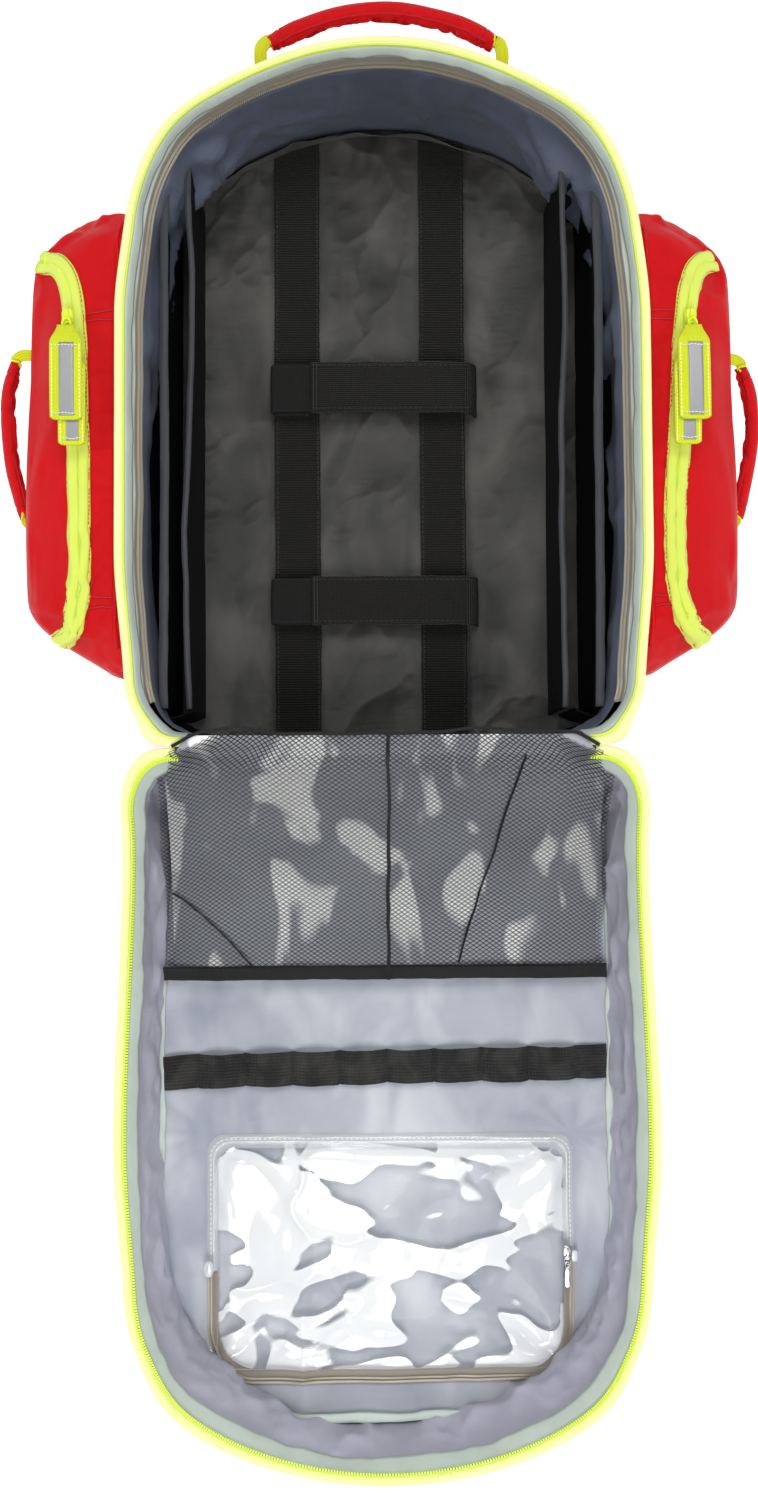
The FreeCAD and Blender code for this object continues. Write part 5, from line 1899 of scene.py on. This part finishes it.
# %% Slider parts
def rounded_plate(name, centre_point, size, height, power=4.0, rings=7, count=40, taper=0.0):
    """A small pillow-edged plate lying flat: size is (x, y)."""
    rows = []
    for k, angle in enumerate(np.linspace(-math.pi / 2, math.pi / 2, rings)):
        shrink = 1 - 0.22 * (1 - math.cos(angle))
        z = centre_point[2] + height / 2 * math.sin(angle)
        turn = np.linspace(0, 2 * math.pi, count, endpoint=False)
        c, s = np.cos(turn), np.sin(turn)
        x = np.sign(c) * np.abs(c) ** (2 / power) * size[0] / 2 * shrink
        y = np.sign(s) * np.abs(s) ** (2 / power) * size[1] / 2 * shrink
        x = x * (1 + taper * y / (size[1] / 2))
        rows.append(np.c_[centre_point[0] + x, centre_point[1] + y, np.full(count, z)])
    grid = np.array(rows)
    verts = grid.reshape(-1, 3)
    faces = []
    for r in range(rings - 1):
        for c in range(count):
            right = (c + 1) % count
            faces.append((r * count + c, r * count + right, (r + 1) * count + right, (r + 1) * count + c))
    faces.append([c for c in reversed(range(count))])
    faces.append([(rings - 1) * count + c for c in range(count)])
    return new_piece(name, verts, faces, verts[:, :2])


def ring_piece(name, centre_point, radius, wire, tilt=0.5, stretch=1.3):
    """A wire ring standing at a tilt: it is seen as an oval from above."""
    turn = np.linspace(0, 2 * math.pi, 40, endpoint=False)
    core = np.c_[np.cos(turn) * radius, np.sin(turn) * radius * stretch * math.cos(tilt), np.sin(turn) * radius * math.sin(tilt)]
    out = np.c_[np.cos(turn), np.sin(turn) * math.cos(tilt), np.sin(turn) * math.sin(tilt)]
    up = np.array([0, -math.sin(tilt), math.cos(tilt)])
    rows = []
    for a in np.linspace(0, 2 * math.pi, 8, endpoint=False):
        rows.append(np.asarray(centre_point) + core + out * wire * math.cos(a) + up * wire * math.sin(a))
    return grid_piece(name, np.array(rows), close_u=True, close_v=True)


def joined(name, parts):
    """Several small pieces as one object, so that they share a body and a finish."""
    tool = bmesh.new()
    for part in parts:
        tool.from_mesh(part.data)
    mesh = bpy.data.meshes.new(name)
    tool.to_mesh(mesh)
    tool.free()
    mesh.polygons.foreach_set("use_smooth", np.full(len(mesh.polygons), True))
    for part in parts:
        bpy.data.objects.remove(part)
    piece = bpy.data.objects.new(name, mesh)
    bpy.context.scene.collection.objects.link(piece)
    return piece


def slider(name, x, y, z, material, body, node, size=(0.0092, 0.0135), facing=1, slot="slider_lime"):
    base = rounded_plate("part_a", (x, y, z), size, 0.0026, 3.2, taper=0.14 * facing)
    top = rounded_plate(
        "part_b", (x, y, z + 0.0024), (size[0] * 0.82, size[1] * 0.9), 0.0018, 3.0, taper=0.14 * facing,
    )
    bridge = rounded_plate(
        "part_c", (x, y + 0.001 * facing, z + 0.0042), (size[0] * 0.30, size[1] * 0.62), 0.0030, 3.0,
    )
    eye = ring_piece("part_d", (x, y - 0.0045 * facing, z + 0.0046), size[0] * 0.34, 0.0007, 0.25)
    piece = joined(name, [base, top, bridge, eye])
    return finish_piece(piece, body, material, slot, [node] if node else ())


def pull_tab(name, x, y_top, y_end, z, width, body, node, neck=0.010, slot="lime_webbing", stripe=True, material=None, lean=0.0):
    """A tab of webbing from its neck at y_top down to y_end."""
    count = 70
    t = np.linspace(0, 1, count)
    y = y_top + (y_end - y_top) * t
    run = np.abs(y - y_top)
    wide = width * (0.52 + 0.48 * ease(run, 0.0, neck))
    bulge = 0.0012 * np.sin(math.pi * np.clip((t - 0.12) / 0.88, 0, 1)) ** 0.6
    rows = []
    for u in np.linspace(-0.5, 0.5, 17):
        corner = 0.0022 * (np.abs(u) * 2) ** 6 * (t > 0.5)
        rows.append(np.c_[x + lean * t + u * wide, y + corner * math.copysign(1, y_top - y_end),
                          z + bulge * (1 - (2 * u) ** 4) + 0 * t])
    piece = grid_piece(name, np.array(rows), thick=0.0022)
    finish_piece(piece, body, material or LIME_WEBBING, slot, [node] if node else ())
    if stripe:
        keep = (run > neck * 0.95) & (t < 0.965)
        rows = []
        for u in np.linspace(-0.5, 0.5, 9):
            rows.append(
                np.c_[x + lean * t[keep] + 0.0008 + u * width * 0.46, y[keep], z + 0.0013 + bulge[keep]],
            )
        band = grid_piece(f"{name}_stripe", np.array(rows), thick=0.0006)
        finish_piece(band, body, REFLECTIVE, "slider_metal")
        spots = []
        for at in (neck + 0.0022, abs(y_end - y_top) - 0.0048):
            y_at = y_top + math.copysign(at, y_end - y_top)
            level_z = float(np.interp(at, run, bulge))
            for sx in np.arange(-width * 0.40, width * 0.41, 0.0025):
                spots.append(
                    (x + sx + lean * at / run[-1], y_at + 0.0003 * math.sin(sx * 2000), z + 0.0018 + level_z),
                )
        thread = many_boxes(
            f"{name}_stitches", spots, (0.0018, 0.0006, 0.0006), fixed((1, 0, 0), len(spots)),
        )
        finish_piece(thread, body, WHITE_THREAD, slot)
        edges = []
        for sign in (-1, 1):
            for ry in np.arange(neck + 0.002, abs(y_end - y_top) - 0.003, 0.0028):
                edges.append((x + sign * (width / 2 - 0.0016) + lean * ry / run[-1],
                              y_top + math.copysign(ry, y_end - y_top), z + 0.0009 + float(np.interp(ry, run, bulge)) * 0.6))
        thread = many_boxes(
            f"{name}_edge_seam", edges, (0.0019, 0.0005, 0.0005), fixed((0, 1, 0), len(edges)),
        )
        finish_piece(thread, body, LIME_EDGE, slot)
    return piece


# %% [markdown]
# Two sliders sit nose to nose on each pocket's zip. Each carries a webbing tab.

# %% Side pocket sliders and tabs
SLIDER_V = 0.3260
LOWER_TAB_IN = 0.0040
for side, sign in (("left", -1), ("right", 1)):
    slider_x = float(zip_x(side, sign, SLIDER_V))
    lower_x = slider_x - sign * LOWER_TAB_IN
    tag = f"side_pocket_{side}"
    slider(f"{tag}_slider_upper_cast", slider_x, to_y(SLIDER_V), 0.1535, LIME_COIL, f"{tag}_slider_upper",
           f"{tag}_slider_upper", facing=1)
    slider(f"{tag}_slider_lower_cast", slider_x + 0.0010, to_y(0.3130), 0.1525, LIME_COIL, f"{tag}_slider_lower",
           f"{tag}_slider_lower", size=(0.0086, 0.0115), facing=-1)
    pull_tab(f"{tag}_tab_lower_web", lower_x, to_y(0.3000), to_y(0.2270), 0.1580, 0.0200, f"{tag}_tab_lower",
             f"{tag}_tab_lower", neck=0.014)
    pull_tab(f"{tag}_tab_upper_web", slider_x, to_y(0.3170), to_y(0.2450), 0.1622, 0.0240, f"{tag}_tab_upper",
             f"{tag}_tab_upper", neck=0.0135, lean=0.0006)
    loop = ring_piece(
        f"{tag}_tab_ring", (slider_x + 0.0002, to_y(0.3185), 0.1592), 0.0032, 0.0009, 0.35, 1.6,
    )
    finish_piece(loop, f"{tag}_tab_upper", LIME_COIL, "slider_lime")

# %% [markdown]
# ## Handles
#
# A handle is a red fabric tube over a soft core, sewn flat at both ends, with neon webbing running through
# it to the bag. Bent like this, the tube's inner side has more cloth than it needs, so it puckers.

# %% Fabric handles
def bent_handle(name, points, radius, inner, body, node, seed, flat=1.0, pucker=0.0034):
    """A tube along a curve; inner is the direction its puckered side faces at each point."""
    path = smooth_path(points, 170)
    along = np.gradient(path, axis=0)
    along /= np.linalg.norm(along, axis=1)[:, None]
    run = np.r_[0, np.cumsum(np.linalg.norm(np.diff(path, axis=0), axis=1))]
    up = np.tile([0.0, 0.0, 1.0], (len(path), 1))
    side = np.cross(up, along)
    side /= np.linalg.norm(side, axis=1)[:, None]
    if (side[len(side) // 2] * inner).sum() < 0:
        side = -side
    ends = np.minimum(ease(run, -0.004, 0.012), ease(-run, -run[-1] - 0.004, -run[-1] + 0.012))
    rows = []
    for angle in np.linspace(0, 2 * math.pi, 26, endpoint=False):
        c, s = math.cos(angle), math.sin(angle)
        towards = max(0.0, c) ** 0.8
        wrinkle = pucker * towards * creases(run * 62, run * 0 + angle * 0.45 + 1, seed, 3)
        wrinkle = wrinkle + 0.0004 * layered(run * 45, run * 0 + angle, seed + 1)
        size = radius * (0.84 + 0.16 * ends)
        band = 0.0005 * (np.abs(run - 0.0105) < 0.0012) + 0.0005 * (np.abs(run[-1] - run - 0.0105) < 0.0012)
        r = size - wrinkle - band
        rows.append(path + side * (c * r)[:, None] + up * (s * r * flat * (0.7 + 0.3 * ends))[:, None])
    tube = grid_piece(name, np.array(rows), close_v=True, caps=True)
    finish_piece(tube, body, RED, "red_fabric", [node])
    seam, marks = [], []
    for i in range(6, len(path) - 6, 2):
        seam.append(path[i] + side[i] * radius * 0.55 + up[i] * radius * flat * 0.86)
    thread = many_boxes(f"{name}_seam", seam, (0.0021, 0.0006, 0.0006), np.gradient(np.array(seam), axis=0))
    finish_piece(thread, body, RED_THREAD, "red_fabric")
    for at in (0.0105, run[-1] - 0.0105):
        i = int(np.argmin(np.abs(run - at)))
        for w in np.linspace(-0.8, 0.8, 8):
            marks.append(
                (path[i] + side[i] * radius * w * 0.9 + up[i] * (radius * flat * math.sqrt(1 - w * w * 0.9) * 0.98), side[i]),
            )
    thread = many_boxes(
        f"{name}_bands", [m[0] for m in marks], (0.0016, 0.0006, 0.0006), [m[1] for m in marks],
    )
    finish_piece(thread, body, RED_THREAD, "red_fabric")
    return path


top_points = [(-0.0870, to_y(0.5610), 0.1100), (-0.0620, to_y(0.5735), 0.1102), (-0.0300, to_y(0.5835), 0.1104),
              (0.0040, to_y(0.5872), 0.1104), (0.0360, to_y(0.5830), 0.1104), (0.0660, to_y(0.5745), 0.1102),
              (0.0905, to_y(0.5615), 0.1100)]
bent_handle("carry_handle", top_points, 0.0082, np.array([0, -1.0, 0]), "top_handle", "top_handle", 221)
side_points = {
    "left": [(-0.2915, to_y(0.3100), 0.0925), (-0.2975, to_y(0.2850), 0.0925), (-0.2978, to_y(0.2550), 0.0925),
             (-0.2940, to_y(0.2250), 0.0925), (-0.2840, to_y(0.1850), 0.0925)],
    "right": [(0.2885, to_y(0.3060), 0.0925), (0.2955, to_y(0.2820), 0.0925), (0.2970, to_y(0.2530), 0.0925),
              (0.2930, to_y(0.2240), 0.0925), (0.2840, to_y(0.1840), 0.0925)],
}
for side, sign in (("left", -1), ("right", 1)):
    bent_handle(f"grab_handle_{side}", side_points[side], 0.0062, np.array([-sign * 1.0, 0, 0]), f"side_handle_{side}",
                f"side_handle_{side}", 231 + sign)


# %% [markdown]
# Each handle hangs on webbing that is sewn to the bag with a boxed cross.

# %% Webbing that holds the handles
def webbing_piece(name, points, across, width, thick, body, node=None, material=None, slot="lime_webbing", seed=1):
    path = smooth_path(points, 60)
    piece = ribbon(name, path, fixed(across, len(path)), width, thick, 0.0004, seed)
    return finish_piece(piece, body, material or LIME_WEBBING, slot, [node] if node else ())


webbing_piece("carry_webbing_left", [(-0.0800, to_y(0.5645), 0.1105), (-0.0890, to_y(0.5635), 0.1108),
                                     (-0.0945, to_y(0.5580), 0.1106), (-0.0952, to_y(0.5480), 0.1100),
                                     (-0.0930, to_y(0.5300), 0.1100)], (1, 0.25, 0), 0.0100, 0.0020, "top_handle",
              "top_handle_webbing", seed=241)
webbing_piece("carry_webbing_right", [(0.0840, to_y(0.5650), 0.1105), (0.0930, to_y(0.5630), 0.1108),
                                      (0.0965, to_y(0.5580), 0.1106), (0.0972, to_y(0.5480), 0.1100),
                                      (0.0950, to_y(0.5300), 0.1100)], (1, -0.25, 0), 0.0100, 0.0020, "top_handle", seed=242)
for side, sign in (("left", -1), ("right", 1)):
    start = side_points[side][0]
    stop = side_points[side][-1]
    webbing_piece(
        f"grab_webbing_{side}_far",
        [(start[0], start[1] - 0.004, 0.0935), (start[0] + sign * 0.0005, start[1] + 0.0020, 0.0945,
    ),
                                               (start[0] - sign * 0.0060, start[1] + 0.0062, 0.0945),
                                               (sign * 0.2735, start[1] + 0.0050, 0.0930)], (0.1, 1, 0.3), 0.0085, 0.0018,
                  f"side_handle_{side}", f"side_handle_{side}_webbing", seed=243)
    webbing_piece(
        f"grab_webbing_{side}_near",
        [(stop[0], stop[1] + 0.004, 0.0935), (stop[0] - sign * 0.0005, stop[1] - 0.0020, 0.0940,
    ),
                                                (stop[0] - sign * 0.0035, stop[1] - 0.0045, 0.0940),
                                                (sign * 0.2735, stop[1] - 0.0035, 0.0930)], (0.1, 1, -0.3), 0.0085, 0.0018,
                  f"side_handle_{side}", seed=244)

# %% [markdown]
# ## The fabric hinge
#
# Body and lid share a strip of black satin between their rims. It is baked in place and attached to neither
# half.

# %% Hinge cloth
x = np.linspace(-HALF + CORNER - 0.006, HALF - CORNER + 0.006, 150)
rows = []
for t in np.linspace(0, 1, 13):
    y = HINGE_Y + 0.0068 - 0.0185 * t
    drop = 0.0016 + 0.0042 * abs(2 * t - 1) ** 3 + 0.0006 * math.sin(math.pi * t)
    wave = 0.0005 * layered(x * 30, x * 0 + t * 2, 245)
    rows.append(np.c_[x, y + wave, RIM_Z + 0.0008 - drop + wave])
hinge = grid_piece("hinge_cloth", np.array(rows), thick=0.0009)
over_hinge(finish_piece(hinge, None, BLACK_SATIN, "black_satin", ["hinge_strip"]))

# %% [markdown]
# ## The main zip's sliders
#
# The big zip opens to both hinge corners, so its two sliders rest there, under the ends of the tape, with
# their neon tabs hanging down in the notch between body and lid.

# %% Main sliders and tabs
INWARD = 0.024
for side, sign in (("left", -1), ("right", 1)):
    low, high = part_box(f"main_slider_{side}")
    mid = [(a + b) / 2 for a, b in zip(low, high)]
    mid[0] -= sign * INWARD
    mid[2] -= 0.0015
    cast = rounded_plate("part_a", (mid[0], mid[1], mid[2] - 0.0008), (0.0070, 0.0066), 0.0030, 3.0)
    top = rounded_plate("part_b", (mid[0], mid[1], mid[2] + 0.0018), (0.0060, 0.0058), 0.0020, 3.0)
    eye = ring_piece("part_c", (mid[0], mid[1], low.z + 0.0016), 0.0020, 0.0006, 0.9)
    piece = joined(f"main_slider_{side}_cast", [cast, top, eye])
    finish_piece(piece, f"main_slider_{side}", LIME_COIL, "slider_lime", [f"main_slider_{side}"])
    low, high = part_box(f"main_tab_{side}")
    count = 40
    z = np.linspace(high.z, low.z, count)
    x = (low.x + high.x) / 2 - sign * INWARD + 0.0002 * np.sin((high.z - z) * 120)
    wide = 0.0072 * (0.6 + 0.4 * ease(high.z - z, 0, 0.010))
    rows = [np.c_[x, np.full(count, (low.y + high.y) / 2) + u * wide, z] for u in np.linspace(-0.5, 0.5, 9)]
    tab = grid_piece(f"main_tab_{side}_web", np.array(rows), thick=0.0016)
    finish_piece(tab, f"main_tab_{side}", LIME_WEBBING, "lime_webbing", [f"main_tab_{side}"])

# %% [markdown]
# ## The clear pocket's slider and puller

# %% Clear pocket slider
low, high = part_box("clear_pocket_slider")
mid = [(a + b) / 2 for a, b in zip(low, high)]
slider("clear_pocket_slider_cast", mid[0] + 0.0010, mid[1], mid[2] - 0.0008, STEEL, "clear_pocket_slider", "clear_pocket_slider",
       size=(0.0078, 0.0120), facing=1, slot="slider_metal")
low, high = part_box("clear_pocket_puller")
mid = [(a + b) / 2 for a, b in zip(low, high)]
plate = rounded_plate(
    "part_a", (mid[0] + 0.0006, mid[1] - 0.001, mid[2]), (0.0046, 0.0165), 0.0014, 3.6, taper=-0.12,
)
eye = ring_piece("part_b", (mid[0] + 0.0006, high.y - 0.0008, mid[2] + 0.0002), 0.0017, 0.0006, 0.2, 1.4)
piece = joined("clear_pocket_puller_cast", [plate, eye])
finish_piece(piece, "clear_pocket_puller", STEEL, "slider_metal", ["clear_pocket_puller"])
blob = rounded_plate(
    "clear_zip_stop_left", (-0.1390, HINGE_Y - 0.4045, 0.0975), (0.0078, 0.0120), 0.0052, 2.6,
)
finish_piece(blob, "lid", FILM_EDGE, "clear_film")
stop_end = rounded_plate(
    "clear_zip_end_left", (-0.1390, HINGE_Y - 0.4075, 0.0985), (0.0050, 0.0062), 0.0026, 3.4,
)
finish_piece(stop_end, "lid", PLASTIC_END, "slider_metal")
stop_end = rounded_plate(
    "clear_zip_end_right", (0.1462, HINGE_Y - 0.3975, 0.0975), (0.0056, 0.0090), 0.0026, 3.4,
)
finish_piece(stop_end, "lid", PLASTIC_END, "slider_metal")

# %% [markdown]
# ## Under the lid: the front pocket
#
# Folded open, the bag rests on its front pocket. It is the largest soft volume: an inflated bag with a zip
# round three sides and a reflective band across its face.

# %% Front pocket
FRONT = [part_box("front_pocket")[0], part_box("front_pocket")[1]]


def cushion_shape(name, low, high, power=4.0, edge=3.0, rows=26, columns=120, top_share=1.0, shrink=0.0, middle=None):
    """A closed, pillow-edged bag that fills a box: flat on both faces, round at the rim."""
    turn = np.linspace(0, 2 * math.pi, columns, endpoint=False)
    c, s = np.cos(turn), np.sin(turn)
    ring_x = np.sign(c) * np.abs(c) ** (2 / power)
    ring_y = np.sign(s) * np.abs(s) ** (2 / power)
    half = [(b - a) / 2 - shrink for a, b in zip(low, high)]
    mid = [(a + b) / 2 for a, b in zip(low, high)]
    levels, scales = [], []
    for a in np.linspace(-math.pi / 2, math.pi / 2, rows):
        levels.append(math.copysign(abs(math.sin(a)) ** (2 / edge), math.sin(a)))
        scales.append(abs(math.cos(a)) ** (2 / edge))
    corner = min(half[0], half[1], 2.2 * half[2])
    verts, faces = [], []
    for lev, sca in zip(levels, scales):
        inset = corner * (1 - sca)
        for x, y in zip(ring_x, ring_y):
            verts.append(
                (mid[0] + x * (half[0] - inset), mid[1] + y * (half[1] - inset), mid[2] + lev * half[2]),
            )
    for r in range(rows - 1):
        for k in range(columns):
            right = (k + 1) % columns
            faces.append(
                (r * columns + k, r * columns + right, (r + 1) * columns + right, (r + 1) * columns + k),
            )
    faces.append([k for k in reversed(range(columns))])
    faces.append([(rows - 1) * columns + k for k in range(columns)])
    return new_piece(name, verts, faces)


front = cushion_shape("front_pocket_bag", FRONT[0], FRONT[1], power=7.0, edge=4.5, shrink=0.003)
inflate(front, lambda p: p[2] > FRONT[1].z - 0.010, grain=0.0065, pressure=3.0, cap=0.006)
for vertex in front.data.vertices:
    vertex.co.z = max(vertex.co.z, 0.0004)
front_points = front.data.vertices
for vertex in front_points:
    vertex.co.z = max(vertex.co.z, 0.0)
finish_piece(front, "lid", RED, "red_fabric", ["front_pocket"])
front_tree = surface_tree(front)


# %% [markdown]
# The lid's outside has a flat pocket with its own zip and a reflective band.

# %% Front pocket zip and band
def side_line(z, v_start, margin=0.004, count=260):
    """A line round the front pocket's wall, open towards the hinge."""
    x_half = (FRONT[1].x - FRONT[0].x) / 2 + margin
    y_low, y_high = FRONT[0].y - margin, to_y(0) - v_start
    corners = [(-x_half, y_high, z), (-x_half, (y_high + y_low) / 2, z), (-x_half, y_low + 0.05, z), (-x_half + 0.018, y_low + 0.016, z),
               (-x_half + 0.06, y_low, z), (0, y_low, z), (x_half - 0.06, y_low, z), (x_half - 0.018, y_low + 0.016, z),
               (x_half, y_low + 0.05, z), (x_half, (y_high + y_low) / 2, z), (x_half, y_high, z)]
    return smooth_path(corners, count)


line = side_line(0.0590, 0.120)
tape, _ = laid_ribbon("front_zip_base", front_tree, line, 0.0135, 0.0008, 0.0008, rows=7)
finish_piece(tape, "lid", LIME_TAPE, "lime_tape", ["front_pocket_zip"])
for sign in (-1, 1):
    lip, _ = laid_ribbon(f"front_zip_lip_{'low' if sign < 0 else 'high'}", front_tree, line + [0, 0, sign * 0.0033],
                         0.0056, 0.0016, 0.0008, rows=7, crown=0.0008, seed=261)
    finish_piece(lip, "lid", LIME_TAPE, "lime_tape")
band_path = smooth_path(
    [(-0.158, HINGE_Y - 0.300, 0.045), (-0.163, HINGE_Y - 0.300, 0.020), (-0.130, HINGE_Y - 0.300, 0.0,
),
                         (0, HINGE_Y - 0.300, 0.0), (0.130, HINGE_Y - 0.300, 0.0), (0.163, HINGE_Y - 0.300, 0.020),
                         (0.158, HINGE_Y - 0.300, 0.045)], 200)
for name, width, lift, material, slot in (("front_band_webbing", 0.038, 0.0006, LIME_WEBBING, "lime_webbing"),
                                          ("front_band_reflective", 0.020, 0.0012, REFLECTIVE, "slider_metal")):
    band, _ = laid_ribbon(name, front_tree, band_path, width, lift, 0.0006, rows=9)
    for vertex in band.data.vertices:
        vertex.co.z = max(vertex.co.z, -0.0016)
    finish_piece(band, "lid", material, slot)
low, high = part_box("front_pocket_slider")
mid = [(a + b) / 2 for a, b in zip(low, high)]
cast = rounded_plate("front_slider_cast", mid, (high.x - low.x, high.y - low.y), 0.0078, 3.0, taper=0.12)
finish_piece(cast, "front_pocket_slider", LIME_COIL, "slider_lime", ["front_pocket_slider"])
low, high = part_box("front_pocket_tab")
count = 50
y = np.linspace(high.y, low.y, count)
wide = 0.0070 * (0.55 + 0.45 * ease(high.y - y, 0, 0.012))
rows = [np.c_[np.full(count, (low.x + high.x) / 2) - 0.0003 * np.sin((high.y - y) * 90), y,
              np.full(count, (low.z + high.z) / 2) + u * wide] for u in np.linspace(-0.5, 0.5, 9)]
tab = grid_piece("front_tab_web", np.array(rows), thick=0.0018)
finish_piece(tab, "front_pocket_tab", LIME_WEBBING, "lime_webbing", ["front_pocket_tab"])

# %% [markdown]
# ## The carrying side
#
# The body lies on its back pads and shoulder straps. The pads are foam under spacer mesh, quilted into
# blocks; the straps are padded too, and neon-edged.

# %% Back pads
def make_spacer_mesh():
    look = Finish("spacer_mesh", "#26272B", rough=0.8, sheen=0.35, specular=0.25)
    look.weave(0.0026, 0.9)
    look.vary(look.math("MULTIPLY", look.wave(look.u, 0.0026), look.wave(look.v, 0.0026)), "#0C0C0E", 0.7)
    look.vary(look.noise(0.02, 3), "#34353A", 0.4)
    return look.done()


SPACER_MESH = make_spacer_mesh()
pads_low, pads_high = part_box("back_pads")
pad_columns, pad_rows = 2, 4
pad_wide = (pads_high.x - pads_low.x) / pad_columns
pad_long = (pads_high.y - pads_low.y) / pad_rows
for column in range(pad_columns):
    for row in range(pad_rows):
        low = (pads_low.x + column * pad_wide + 0.004, pads_low.y + row * pad_long + 0.004, 0.0125 if column in (0, 1) else 0.0)
        high = (pads_low.x + (column + 1) * pad_wide - 0.004, pads_low.y + (row + 1) * pad_long - 0.004, pads_high.z)
        pad = cushion_shape(f"back_pad_{column}_{row}", low, high, power=5.0, edge=2.4, rows=14, columns=72)
        face_out(pad)
        soften(pad)
        box_uvs(pad)
        finish_piece(pad, "main_body", SPACER_MESH, "pad_mesh", ["back_pads"] if column + row == 0 else ())

# %% [markdown]
# Padded straps lie on the back, between the pads, and end in webbing and buckles.

# %% Shoulder straps
for side, sign in (("left", -1), ("right", 1)):
    low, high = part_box(f"shoulder_strap_{side}")
    middle = (low.x + high.x) / 2
    count = 160
    y = np.linspace(high.y, low.y, count)
    t = np.linspace(0, 1, count)
    path_x = middle + sign * 0.004 * np.sin(math.pi * t)
    wide = (high.x - low.x - 0.010) * (1 - 0.16 * ease(t, 0.55, 1.0))
    round_end = np.sqrt(np.clip(1 - np.maximum(0, (t - 0.93) / 0.07) ** 2, 0.02, 1))
    rows = []
    for angle in np.linspace(0, 2 * math.pi, 36, endpoint=False):
        c, s = math.cos(angle), math.sin(angle)
        across = math.copysign(abs(c) ** (2 / 3.5), c) * wide / 2 * round_end
        tall = math.copysign(abs(s) ** (2 / 2.6), s) * 0.0053
        rows.append(np.c_[path_x + across, y, 0.0056 + tall * (0.94 + 0.06 * np.sin(t * 60)) + 0 * t])
    strap = grid_piece(f"shoulder_strap_{side}_pad", np.array(rows), close_v=True, caps=True)
    finish_piece(strap, f"shoulder_strap_{side}", SPACER_MESH, "pad_mesh", [f"shoulder_strap_{side}"])
    for flank in (-1, 1):
        edge_path = np.c_[path_x + flank * (wide / 2 * round_end - 0.0006), y, np.full(count, 0.0056)]
        binding = ribbon(f"shoulder_strap_{side}_edge_{'a' if flank < 0 else 'b'}", edge_path, fixed((0, 0, 1), count), 0.0072, 0.0016, 0.0003,
                         271, crown=0.0006 * flank)
        finish_piece(binding, f"shoulder_strap_{side}", LIME_WEBBING, "lime_webbing")
    low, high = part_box(f"strap_webbing_{side}")
    start = (sign * 0.0960, high.y - 0.006, 0.0062)
    stop = (sign * 0.1660, low.y + 0.010, 0.0062)
    path = smooth_path(
        [start, (sign * 0.1180, high.y - 0.040, 0.0056), (sign * 0.1450, low.y + 0.040, 0.0056), stop],
        60,
    )
    webbing = ribbon(
        f"strap_webbing_{side}_lower", path, fixed((1, 0.4 * sign, 0), len(path)), 0.0240, 0.0016,
        0.0003, 273,
    )
    finish_piece(
        webbing, f"shoulder_strap_{side}", LOOP_WEBBING, "black_webbing", [f"strap_webbing_{side}"],
    )
    buckle = rounded_plate(
        f"strap_buckle_{side}", (sign * 0.0960, high.y + 0.004, 0.0062), (0.0340, 0.0200), 0.0060, 4.0,
    )
    finish_piece(buckle, f"shoulder_strap_{side}", BLACK_PLASTIC, "slider_metal")

# %% [markdown]
# ## What is left of the CAD parts
#
# Every CAD part is meant to be hidden behind a dressed piece, so this list should come out empty.

# %% Check the CAD parts
left_over = [name for name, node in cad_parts.items() if not node.hide_render]
print("CAD parts still shown:", left_over)

# %% [markdown]
# Soft boxes stand round the bag. The floor is a white sheet.

# %% Camera, floor and light
camera_data = bpy.data.cameras.new("camera")
camera_data.lens = 33.48
camera_data.sensor_width = 36
camera_data.clip_start = 0.01
camera = bpy.data.objects.new("camera", camera_data)
bpy.context.scene.collection.objects.link(camera)
camera.location = (-0.0203, -0.0716, 1.2)
camera.rotation_euler = (0.0381, -0.0145, -0.0058)
bpy.context.scene.camera = camera

world = bpy.data.worlds.new("studio")
bpy.context.scene.world = world
world.use_nodes = True
world.node_tree.nodes["Background"].inputs["Color"].default_value = (1, 1, 1, 1)
world.node_tree.nodes["Background"].inputs["Strength"].default_value = 0.22


def lamp(name, place, aim, size, power):
    data = bpy.data.lights.new(name, "AREA")
    data.energy = power
    data.size = size
    light = bpy.data.objects.new(name, data)
    bpy.context.scene.collection.objects.link(light)
    light.location = place
    light.rotation_euler = (Vector(aim) - Vector(place)).to_track_quat("-Z", "Y").to_euler()
    return light


lamp("softbox_key", (-0.05, -1.15, 2.3), (0, -0.1, 0.05), 1.1, 40)
lamp("softbox_far", (0.1, 1.2, 2.3), (0, 0.1, 0.05), 1.0, 24)
lamp("softbox_left", (-1.7, 0.4, 1.3), (0, 0, 0.05), 0.8, 10)
lamp("softbox_right", (1.7, 0.2, 1.3), (0, 0, 0.05), 0.8, 9)

floor_mesh = bpy.data.meshes.new("floor")
floor_mesh.from_pydata(
    [(-4, -4, -0.0005), (4, -4, -0.0005), (4, 4, -0.0005), (-4, 4, -0.0005)], [], [(0, 1, 2, 3)],
)
floor = bpy.data.objects.new("floor", floor_mesh)
bpy.context.scene.collection.objects.link(floor)
paper = Finish("floor_paper", "#FFFFFF", rough=0.9, specular=0.0)
paper.shader.inputs["Emission Color"].default_value = (1, 1, 1, 1)
paper.shader.inputs["Emission Strength"].default_value = 0.45
floor.data.materials.append(paper.done())
bpy.context.scene.view_settings.view_transform = "Standard"
